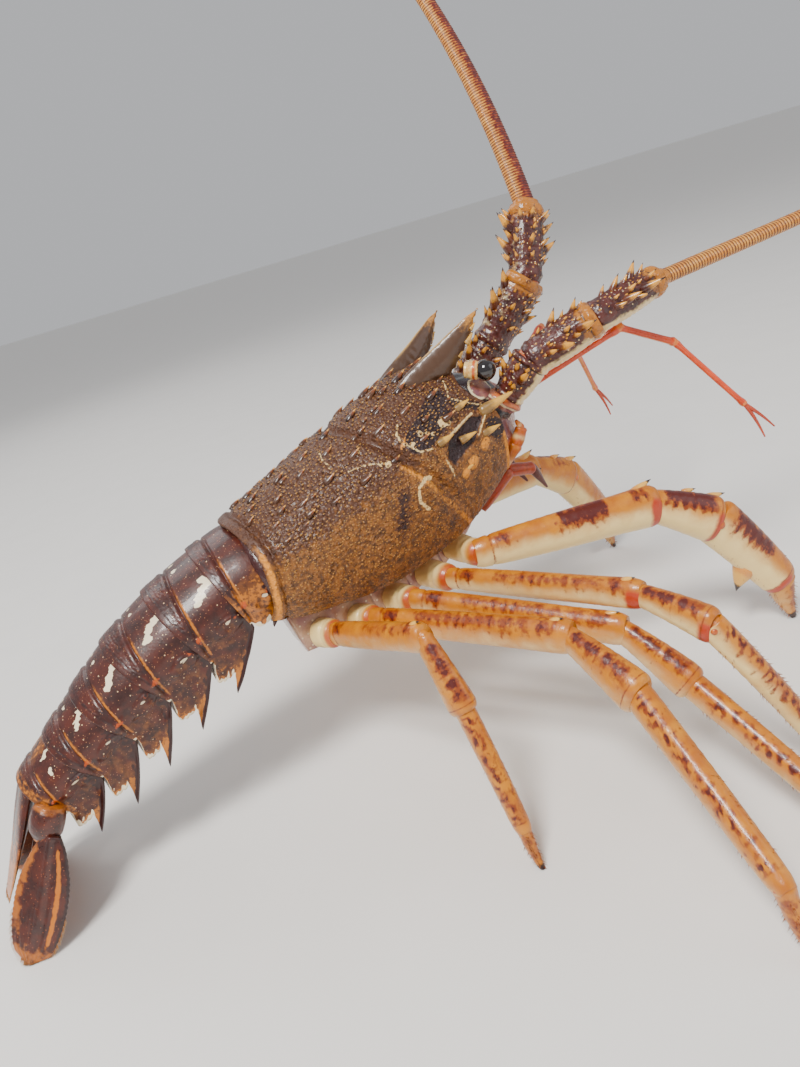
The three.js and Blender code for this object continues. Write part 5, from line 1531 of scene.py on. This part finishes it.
# %% Blades of shell
def blade(piece, start, way, side, widths, thicknesses, keel=0.0, ribs=0.0, cup=0.0, rows=90,
          around=96, mark=None, notch=0.0):
    """A flat plate from a start point: widths and thicknesses are [place, half size] curves."""
    last = widths[-1][0]
    ease = np.linspace(0, 1, rows)
    place = widths[0][0] + (last - widths[0][0]) * (1 - (1 - ease) ** 1.35)
    half_wide, half_thick = curve_through(widths)(place), curve_through(thicknesses)(place)
    tail_off = np.sqrt(np.clip((last + 0.4 - place) / 5.0, 0, 1))
    turn = 2 * math.pi * np.arange(around) / around
    c, s = np.cos(turn)[None, :], np.sin(turn)[None, :]
    across = squared(c, 0.85)
    half_wide = half_wide[:, None] * (0.35 + 0.65 * tail_off[:, None])
    teeth = 1 + notch * np.abs(np.sin(place * 1.1))[:, None] * (np.abs(across) > 0.9)
    y = across * half_wide * teeth
    z = s * half_thick[:, None] * (1 - 0.15 * c * c)
    top_side = s > 0
    z = (z + top_side * keel * hump((across + 0.05) * half_wide, 1.6)
         * (1 - rise(place[:, None], last * 0.6, last * 0.9)))
    z = (z + top_side * ribs * np.sin(across * 26) * rise(place[:, None], last * 0.35, last * 0.6)
         * (1 - across ** 2))
    z = z - cup * across ** 2 * half_wide
    top = unit(np.cross(side, way))
    points = (np.asarray(start) + place[:, None, None] * way + y[..., None] * side
              + z[..., None] * top)
    along = (place - widths[0][0]) / (last - widths[0][0])
    fields = (mark(along[:, None] + 0 * c, across + 0 * along[:, None], s + 0 * along[:, None])
              if mark else {})
    piece.rings(points, end=points[-1].mean(0) + way * 0.3, **fields)
    return points


FLAP = [[0, 3], [5, 5], [12, 7.6], [18, 6.6], [23, 2.5]]
FLAP_HALF_THICKNESS = [[0, 1.7], [8, 1.1], [17, 0.8], [23, 0.6]]
FLAP_FINISH = shell("swimmeret", "a6441f", "7a2e1c", patch=5, gloss=0.35, coat=0.4,
                    layers=(("pale", "d9a566", 3, 0.5, 0.2), ("dark", "35120f", 3, 0.5, 0.2)))


def flap_marks(u, c, s):
    return {"pale": patch(1 - np.abs(c), 0.12, 0.1), "dark": 0.8 * hump(u - 0.2, 0.15)}


swimmerets = Piece()
for k in (1, 2, 3, 4):
    slope = np.array(TERGITE_SLOPES[k], float)
    back_way, down_way = ahead_of(slope), -over(slope)
    for mirror in (-1, 1):
        start = (tail_points[k] + back_way * TERGITE_LENGTHS[k] * 0.45
                 + down_way * (TAIL_DEPTHS[k + 1] - 3))
        start = start + np.array([0, TAIL_HALF_WIDTHS[k + 1] * 0.45 * mirror, 0])
        lean = math.radians(38)
        way = down_way * math.cos(lean) + back_way * math.sin(lean)
        blade(swimmerets, start, way, np.array([0, 1.0, 0]), FLAP, FLAP_HALF_THICKNESS,
              keel=0.5, ribs=0.12, cup=0.12, rows=34, around=32, mark=flap_marks)
show("swimmerets", swimmerets.mesh("swimmerets"), FLAP_FINISH, "tail")

# %% [markdown]
# ## The tail fan
# A middle plate (telson) and, on each side, a short base with an inner and an outer blade. Their
# front halves are hard and dark with a gold keel, their rear halves soft, ribbed and fringed.

# %% The fan
FAN_SLOPE = -48.0
fan_way = ahead_of(np.array(FAN_SLOPE))
fan_top = over(np.array(FAN_SLOPE))
fan_start = tail_points[6] + np.array([0, 0, -9.0])
TELSON = [[-8, 12.5], [2, 14], [12, 16], [30, 18.5], [47, 17.3], [56, 13.6], [60.5, 6.5]]
BLADE = [[-4, 4.2], [4, 8.6], [20, 13], [38, 13.3], [53, 10.3], [61, 4.6]]
BLADE_HALF_THICKNESS = [[-6, 3], [4, 2.8], [20, 2.2], [38, 1.7], [53, 1.2], [61, 0.8]]
BASE = [[-2, 7], [2, 8.8], [8, 9.4], [13, 8.6], [16, 6.5]]
BASE_HALF_THICKNESS = [[-2, 6.5], [2, 8], [11, 7.5], [16, 5.2]]


def turned(vector, axis, degrees_round):
    """Rodrigues' rotation of a vector about an axis."""
    t = math.radians(degrees_round)
    vector, axis = np.asarray(vector, float), unit(axis)
    return (vector * math.cos(t) + np.cross(axis, vector) * math.sin(t)
            + axis * np.dot(axis, vector) * (1 - math.cos(t)))


def outer_marks(mirror):
    def mark(u, c, s):
        out = c * mirror
        stripe = (patch(np.abs(out - 0.62) * 13, 1.2, 0.9) * rise(u, 0.05, 0.12)
                  * (1 - rise(u, 0.8, 0.92)))
        rim = patch((1 - out) * 13, 1.6, 0.7)
        inner_gold = 0.6 * rise(-out, 0.3, 0.9) * (1 - 0.5 * rise(u, 0.6, 0.9))
        soft = rise(u, 0.78, 0.94)
        return {"tip": 0.9 * stripe, "dark": 0.7 * rim * (1 - soft),
                "warm": most(inner_gold, 0.6 * soft)}
    return mark


def inner_marks(u, c, s):
    bars = patch(np.abs(np.abs(c) - 0.33) * 12, 1.5, 0.8) * (1 - rise(u, 0.5, 0.8))
    return {"tip": 0.3 + 0.35 * rise(u, 0.3, 0.75) * (1 - bars), "dark": 0.8 * bars,
            "warm": 0.5 * hump(c, 0.25)}


def base_marks(u, c, s):
    return {"tip": 0.7 * rise(u, 0.86, 0.97),
            "warm": most(0.7 * patch(u * 16, 2.4, 1.4), 0.6 * hump(c - 0.7, 0.2)),
            "dark": 0.3 + 0 * u}


FAN_FINISH = shell("fan shell", "501a08", "300c05", patch=6, edge=0.2, gloss=0.32, coat=0.45,
                   dots=(("94502c", 1.7, 0.18, None),),
                   layers=(("warm", "a85c12", 4, 1.2, 0.18), ("tip", "c06a04", 3, 1.0, 0.18),
                           ("dark", "260606", 4, 0.8, 0.2)), relief=((4.0, 0.3), (1.0, 0.1)))
BRISTLE_FINISH = tipped("bristles", "a86a32", "8a4a24", "c08a4c", "d8b27c", 0.4, 0.7, 0.5)

fringe = Thorns()
telson = Piece()
edge = blade(telson, fan_start, fan_way, np.array([0, 1.0, 0]), TELSON,
             [[-8, 5], [12, 4.1], [30, 2.6], [48, 1.7], [58, 1.1], [63, 0.7]], keel=0.8, ribs=0.22,
             cup=0.02, mark=inner_marks)
fan_edges = [(edge, fan_way)]
show("fan_middle", telson.mesh("fan_middle"), FAN_FINISH, "tail", "telson")
for side_name, mirror in (("right", -1), ("left", 1)):
    for kind, start, yaw, roll, widths, thick, mark in (
            ("base", (0, 22, -10), 4, 40, BASE, BASE_HALF_THICKNESS, base_marks),
            ("inner", (16, 17, -12.5), 3, 18, BLADE, BLADE_HALF_THICKNESS, inner_marks),
            ("outer", (14.5, 30, -13), 9, 60, BLADE, BLADE_HALF_THICKNESS, outer_marks(mirror))):
        way = turned(fan_way, fan_top, -yaw * mirror)
        side = turned(turned((0, 1, 0), fan_top, -yaw * mirror), way, roll * mirror)
        place = (fan_start + fan_way * start[0] + fan_top * start[2]
                 + np.array([0, start[1] * mirror, 0]))
        part = Piece()
        edge = blade(part, place, way, side, widths, thick, keel=0.0 if kind == "base" else 0.9,
                     ribs=0.0 if kind == "base" else 0.2, mark=mark,
                     notch=0.03 if kind == "outer" else 0.0)
        if kind != "base":
            fan_edges.append((edge, way))
        name = f"fan_{side_name}_{kind}"
        show(name, part.mesh(name), FAN_FINISH, "tail", f"uropod_{side_name}_{kind}")
draw = np.random.default_rng(5)
for edge, way in fan_edges:
    rows_used = edge[int(len(edge) * 0.5):]
    for column in (0, 1, 95, 47, 48, 49):
        roots = rows_used[:, column]
        centre = rows_used.mean(1)
        aims = unit(roots - centre) * 0.55 + way
        keep = draw.uniform(size=len(roots)) < 0.9
        fringe.add(roots[keep], aims[keep], draw.uniform(1.6, 3.0, keep.sum()), 0.34, way)
    for step in (-1, -4, -8):
        ring = edge[step][::2]
        fringe.add(ring, unit(ring - edge.mean((0, 1))) * 0.2 + way,
                   draw.uniform(1.5, 3.2, len(ring)), 0.34, way)
show("fan_fringe", fringe.mesh("fan_fringe", BRISTLE_FINISH, sides=3, rings=2, hook=0.1),
     BRISTLE_FINISH, "tail")
print("fringe faces:", made["fan_fringe"])

# %% [markdown]
# ## The legs
# Ten walking legs, five a side. Each length is a tube of shell with a slim neck at its near end
# and a wide cup with two hinge knobs at its far end. The legs stand level, so they are worked out
# in the level frame, and the last length always comes down to the floor.

# %% Joints of the legs
LEGS = {1: dict(root=(108, 18, -14), hip=(112, 42, -15), lengths=(103, 40, 60, 28),
                heading=(15, 20, 22), pitch=(-3, -30, -56),
                near=((7.6, 9.2), (8.2, 9.6), (9.6, 14.5), (6.6, 8.6)),
                far=((9.6, 12), (11, 14), (8.2, 11), (1.3, 1.5))),
        2: dict(root=(85, 21, -17), hip=(90, 43, -17), lengths=(108, 38, 72, 30),
                heading=(62, 74, 40), pitch=(-1, -14, -60),
                near=((5, 6.6), (4.6, 5.8), (5.4, 6.8), (3.8, 4.6)),
                far=((6, 7.6), (7, 9.2), (4.4, 5.2), (1.3, 1.5))),
        3: dict(root=(61, 24, -17), hip=(66, 43, -16), lengths=(112, 40, 84, 32),
                heading=(54, 67, 82), pitch=(-8, -38, -28),
                near=((5.4, 7.4), (4.8, 6.2), (6, 7.6), (4, 5)),
                far=((6.4, 8.4), (7.6, 10), (4.8, 5.8), (1.3, 1.5))),
        4: dict(root=(37, 27, -14), hip=(42, 41, -13), lengths=(110, 42, 88, 31),
                heading=(57, 80, 95), pitch=(-2, -26, -30),
                near=((5.4, 7.4), (5, 6.6), (6.6, 8.2), (4.2, 5.2)),
                far=((6.6, 8.8), (8.6, 11.5), (5, 6), (1.3, 1.5))),
        5: dict(root=(15, 28, -8), hip=(20, 39, -8), lengths=(70, 38, 60, 21), heading=(69, 79, 87),
                pitch=(9, -62, -63), near=((5.4, 7.2), (4.6, 5.6), (5, 6.2), (3.4, 4)),
                far=((6, 7.6), (6.8, 8.8), (4.2, 4.8), (1.3, 1.5)))}
LEFT_SWING = {1: 5, 2: 7, 3: -3, 4: 4, 5: -7}


def leg_joints(number, mirror):
    leg = LEGS[number]
    swing = LEFT_SWING[number] if mirror > 0 else 0
    joints = [level((x, y * mirror, z)) for x, y, z in (leg["root"], leg["hip"])]
    for k in range(4):
        yaw = math.radians(leg["heading"][min(k, 2)] - swing)
        start = joints[-1]
        lift = (math.radians(leg["pitch"][k]) if k < 3
                else -math.asin(min(0.98, (start[2] + 1.6) / leg["lengths"][3])))
        way = np.array([math.cos(lift) * math.cos(yaw), mirror * math.cos(lift) * math.sin(yaw),
                        math.sin(lift)])
        joints.append(start + way * leg["lengths"][k])
    return joints


print("right foot of leg 4:", leg_joints(4, -1)[-1].round(1))

# %% Paint and relief of a leg
neck = curve_through([[-0.03, 0.8], [0.0, 0.9], [0.05, 0.95], [0.065, 0.92], [0.09, 0.96],
                      [0.22, 1.0], [0.5, 1.02], [0.8, 1.0], [0.95, 1.02], [1.0, 0.98],
                      [1.03, 0.84]])
plain_neck = curve_through([[-0.08, 0.62], [-0.03, 0.86], [0.0, 0.94], [0.08, 0.97], [0.2, 0.98],
                            [0.6, 1.0], [0.9, 1.0], [0.96, 0.97], [1.0, 0.9], [1.04, 0.74]])
claw = curve_through([[-0.04, 0.8], [0.02, 1.0], [0.12, 1.0], [0.4, 1.08], [0.8, 1.0], [1.0, 1.0]])


def stripe(u, t, length, first, last, centre, half_width, radius):
    """Field of a long patch on a limb: from u first to last, about a turn from its top, in mm."""
    along = np.maximum(first - u, u - last) * length
    off = np.abs((t - centre + math.pi) % (2 * math.pi) - math.pi) * radius - half_width
    outside = (np.hypot(np.maximum(along, 0), np.maximum(off, 0))
               + np.minimum(np.maximum(along, off), 0))
    spread = np.stack([u * length, (t % (2 * math.pi)) * radius * 0.5], -1)
    return patch(outside + 1.1 * swirl(spread, 6, 90) + 0.6 * swirl(spread, 2.6, 91), 0, 3.2)


THIGH_PATCHES = {1: (0.46, 0.72, 5.4, 1.0), 2: (0.3, 0.84, 2.2, 0.6), 3: (0.26, 0.86, 2.6, 0.6),
                 4: (0.26, 0.84, 3.4, 0.6), 5: (0.46, 0.8, 1.2, 0.6)}
CREAM_BELOW = {1: 1.0, 2: 0.9, 3: 0.5, 4: 0.45, 5: 0.4}


def leg_marks(number, k, mirror, radius):
    """Paint of each length: brush-edged patches that hang from the top edge, cream below."""
    lateral = math.radians(52) * mirror * -1

    def mark(u, t, length):
        def band(first, last, turn_at, half_wide):
            return stripe(u, t, length, first, last, lateral * turn_at, half_wide, radius)

        down = -np.cos(t)
        outer = -mirror * np.sin(t)
        pale = 0.92 * CREAM_BELOW[number] * rise(down + 0.3 * outer, -0.6, 0.75)
        red = 0.9 * patch((1 - u) * length, 4.0, 2.0) * rise(outer + down, -0.2, 0.8) * (number < 3)
        dark = 0.6 * hump((u - (0.065 if k == 1 else 0.94)) * length, 0.4)
        if k == 1:
            first, last, half_wide, strength = THIGH_PATCHES[number]
            dark = most(dark, 0.9 * band(0.09, 0.16, 0.8, 2.4),
                        strength * band(first, last, 0.62, half_wide),
                        0.9 * band(0.89, 0.95, 0.5, 2.4))
        elif k == 2:
            wide = 6.0 if number == 1 else 2.0
            dark = most(dark, band(0.12, 0.84, 0.5, wide), 0.7 * band(0.4, 0.8, -0.9, 1.0))
        elif k == 3:
            first, last, half_wide = (0.1, 0.62, 4.2) if number == 1 else (0.03, 0.92, 2.0)
            line = band(first, last, 0.8, half_wide)
            if number > 1:
                blots = swirl(np.stack([u * length, t * radius], -1), 4.2, 33 + number)
                line = line * rise(blots, -0.9, 0.5)
            dark = most(dark, line)
            pale = most(pale, 0.75 * rise(down, -0.1, 0.4) * (number == 1))
        elif k == 4:
            dark = most(dark, 0.6 * band(0.1, 0.66, 1.0, 1.2))
        tip = rise(u, 0.72, 0.95) if k == 4 else 0 * u
        return {"dark": dark, "pale": pale * (1 - 0.6 * (k == 4)), "warm": red, "tip": tip}
    return mark


hip_shape = curve_through([[0, 1.0], [0.5, 1.02], [0.62, 0.9], [0.7, 1.02], [0.95, 1.0],
                           [1.06, 0.78]])


def hip_marks(u, t, length):
    return {"pale": 0.8 - 0.5 * rise(u, 0.75, 0.95), "warm": 0.6 * rise(u, 0.8, 1.0)}


def leg_relief(number, k):
    def relief(u, t, length):
        off = np.sin(u * length * 1.1 + 3 * np.sin(t)) * np.sin(t * 5 + u * 9)
        ring = -0.45 * hump((u - 0.06) * length, 0.7) * (k == 1)
        keel = 0.5 * hump(np.sin(t / 2) * 9, 1.6) * (number == 1)
        return 0.09 * off + ring + keel
    return relief


print("limb tools ready")

# %% [markdown]
# Now both sides are built in one loop. The hand has a tooth under its end and spines at its
# joints, and soft bristles stand in rows along the outer lengths of every leg.

# %% All ten legs
LEG_SPINE_TIPS = tipped("leg spine", "cf6f1c", "e8b45a", "e9b04a", "2a0f0a", 0.2, 0.72)
BRISTLES = tipped("leg bristles", "9a4a18", "6a2a12", "a8642c", "c08a4c", 0.4, 0.8, 0.5)
HINGES = shell("hinge knobs", "a8400e", "d06a12", patch=3, gloss=0.32, coat=0.5,
               relief=((1.5, 0.1),))
CLAW_SPINES = [(1, 0.93, 10, 11, 6, 1.5), (1, 0.95, 80, 7, 4.5, 1.5), (2, 0.84, 15, 10, 5.5, 1.3),
               (2, 0.45, 15, 7, 4, 1.3), (3, 0.5, 20, 6, 4, 1), (3, 0.8, 20, 8, 5, 1),
               (3, 0.62, 180, 14, 13, 0.3)]
draw = np.random.default_rng(21)
leg_spines, leg_hairs = Thorns(same), Thorns(same)
for side_name, mirror in (("right", -1), ("left", 1)):
    for number in LEGS:
        leg = LEGS[number]
        joints = leg_joints(number, mirror)
        parts = {}
        red, hinges = Piece(same), Piece(same)
        for k in range(1, 5):
            part = Piece(same)
            near, far = leg["near"][k - 1], leg["far"][k - 1]
            shape, bow = {1: (neck, 0.0), 4: (claw, -1.2)}.get(k, (plain_neck, 0.6))
            radius = (near[0] + far[0]) / 2
            tube(part, joints[k], joints[k + 1], near, far, profile=shape, bow=bow,
                 mark=leg_marks(number, k, mirror, radius), relief=leg_relief(number, k),
                 rows=84 if k == 1 else 64, around=48 if number == 1 else 36,
                 ends=(-0.04, 0.985) if k == 4 else (-0.03, 1.03))
            parts[k] = part
            axis, side, top = limb_frame(joints[k], joints[k + 1])
            reach = np.linalg.norm(joints[k + 1] - joints[k])
            if k > 1:
                for way in (-1, 1):
                    knob(hinges, joints[k] + side * way * near[0] * 0.86, axis, side * way,
                         near[0] * 0.3)
                middle_axis = unit(limb_frame(joints[k - 1], joints[k])[0] + axis)
                ball = [oval(joints[k] + middle_axis * a * near[1], side,
                             np.cross(side, middle_axis),
                             near[0] * 0.8 * math.sqrt(1 - a * a * 0.8),
                             near[1] * 0.8 * math.sqrt(1 - a * a * 0.8), 20)
                        for a in np.linspace(-0.75, 0.75, 9)]
                red.rings(ball, warm=0.25)
            rows_of = CLAW_SPINES if number == 1 else [(1, 0.95, 0, 6, 3.6, 1.6)]
            for length_no, place, round_top, tall, wide, lean in rows_of:
                if length_no != k:
                    continue
                t = math.radians(round_top)
                out = top * math.cos(t) + side * mirror * math.sin(t)
                radius_here = math.hypot(far[1] * math.cos(t), far[0] * math.sin(t))
                root = joints[k] + axis * reach * place + out * radius_here * 0.86
                leg_spines.add(root, out + axis * lean, tall, wide * 1.1, axis, pale=0.4)
            count = ((50, 30, 130, 130) if number > 1 else (110, 70, 110, 120))[k - 1]
            u = draw.uniform(0.12, 0.93, count)
            rows_turn = (draw.choice([-0.5, 0.5, 2.5, 3.7], count) if k > 2
                         else draw.uniform(-1.2, 1.2, count))
            t = rows_turn + draw.normal(0, 0.16, count)
            scale = ((near[0] + (far[0] - near[0]) * u)[:, None],
                     (near[1] + (far[1] - near[1]) * u)[:, None])
            out = np.sin(t)[:, None] * side * scale[0] + np.cos(t)[:, None] * top * scale[1]
            rise_by = (bow * np.sin(math.pi * u))[:, None] * top
            roots = (joints[k] + axis * (u * reach)[:, None] + out * 0.97 * shape(u)[:, None]
                     + rise_by)
            tall = draw.uniform(1.2, 2.6, count) * (1.2 if k == 4 else 1.0) * (0.5 if k < 3 else 1)
            leg_hairs.add(roots, unit(out) + axis * 0.9, tall, 0.42, axis,
                          pale=draw.uniform(0, 1, count))
        coxa = Piece(same)
        tube(coxa, joints[0], joints[1], (8, 8), (7, 7.4), rows=30, around=40, ends=(0.0, 1.06),
             profile=hip_shape, mark=hip_marks)
        show(f"hip_{number}_{side_name}", coxa.mesh(f"hip_{number}_{side_name}"), LEG_FINISH, "leg")
        names = {1: ("thigh", "upper"), 2: ("knee", "carpus"), 3: ("shin", "hand"),
                 4: ("foot", "finger")}
        for k, (word, node) in names.items():
            name = f"{word}_{number}_{side_name}"
            nodes = [f"leg_{number}_{side_name}_{node}"] if number == 1 or k == 1 else []
            if number > 1 and k == 3:
                nodes = [f"leg_{number}_{side_name}_lower"]
            show(name, parts[k].mesh(name), LEG_FINISH, "leg", *nodes)
        show(f"joints_{number}_{side_name}", red.mesh(f"joints_{number}_{side_name}"), LEG_FINISH,
             "leg")
        show(f"hinges_{number}_{side_name}", hinges.mesh(f"hinges_{number}_{side_name}"), HINGES,
             "leg")
show("leg_spines", leg_spines.mesh("leg_spines", LEG_SPINE_TIPS, sides=12, rings=8, hook=0.25),
     LEG_SPINE_TIPS, "leg")
show("leg_bristles", leg_hairs.mesh("leg_bristles", BRISTLES, sides=3, rings=2, hook=0.15),
     BRISTLES, "leg")
print("bristles on the legs:", made["leg_bristles"], "faces")

# %% [markdown]
# ## Floor, light and camera
# A pale floor and soft lamps, as in a studio. The camera stands where the photograph's did: at
# the animal's right, a little behind its shoulder and looking down. One vector each for place,
# direction and up gives the turn of the camera without guessing at angles.

# %% Floor
FLOOR_HALF = 60
floor_finish = Finish("pale floor")
floor_colour = floor_finish.mix(floor_finish.noise(60.0), paint("e9e6e1"), paint("efece8"))
floor_finish.feed(floor_finish.body.inputs["Base Color"], floor_colour)
floor_finish.feed(floor_finish.body.inputs["Roughness"], floor_finish.noise(15.0) * 0.1 + 0.6)
floor_data = bpy.data.meshes.new("floor")
floor_data.from_pydata([(x * FLOOR_HALF, y * FLOOR_HALF, -0.0005)
                        for x, y in ((-1, -1), (1, -1), (1, 1), (-1, 1))], [], [(0, 1, 2, 3)])
floor_data.materials.append(floor_finish.material)
floor_piece = bpy.data.objects.new("floor", floor_data)
bpy.context.scene.collection.objects.link(floor_piece)
floor_piece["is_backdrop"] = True

# %% Lamps and sky
world = bpy.data.worlds.new("pale room")
bpy.context.scene.world = world
world.use_nodes = True
world.node_tree.nodes["Background"].inputs[0].default_value = (0.86, 0.87, 0.9, 1)
world.node_tree.nodes["Background"].inputs[1].default_value = 0.62


def lamp(name, place, target, size, watts, colour):
    data = bpy.data.lights.new(name, "AREA")
    data.size, data.energy, data.color = size, watts, colour
    lamp_piece = bpy.data.objects.new(name, data)
    lamp_piece.location = place
    lamp_piece.rotation_euler = (Vector(target) - Vector(place)).to_track_quat("-Z", "Y").to_euler()
    bpy.context.scene.collection.objects.link(lamp_piece)


lamp("key", (-1.0, -0.9, 1.9), (0, 0, 0.15), 0.6, 62, (1.0, 0.98, 0.95))
lamp("fill", (1.6, -1.4, 1.2), (0, 0, 0.15), 1.6, 9, (0.95, 0.97, 1.0))
lamp("back", (-0.6, 1.8, 1.7), (0, 0, 0.15), 1.4, 14, (1.0, 1.0, 1.0))

# %% Camera
EYE = Vector((-0.2936, -0.4297, 0.2820))
LOOK = Vector((0.304, 0.886, -0.350)).normalized()
UP = Vector((0.381, 0.223, 0.898))
side = LOOK.cross(UP).normalized()
up = side.cross(LOOK)
camera_data = bpy.data.cameras.new("camera")
camera_data.lens, camera_data.sensor_width, camera_data.clip_start = 27, 36, 0.01
camera = bpy.data.objects.new("camera", camera_data)
bpy.context.scene.collection.objects.link(camera)
camera.location = EYE
camera.rotation_euler = Matrix((side, up, -LOOK)).transposed().to_euler()
bpy.context.scene.camera = camera
print("camera at", [round(v, 3) for v in EYE])

# %% Sizes and finish
bpy.context.view_layer.update()
low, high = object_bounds()
print("faces in all:", sum(made.values()))
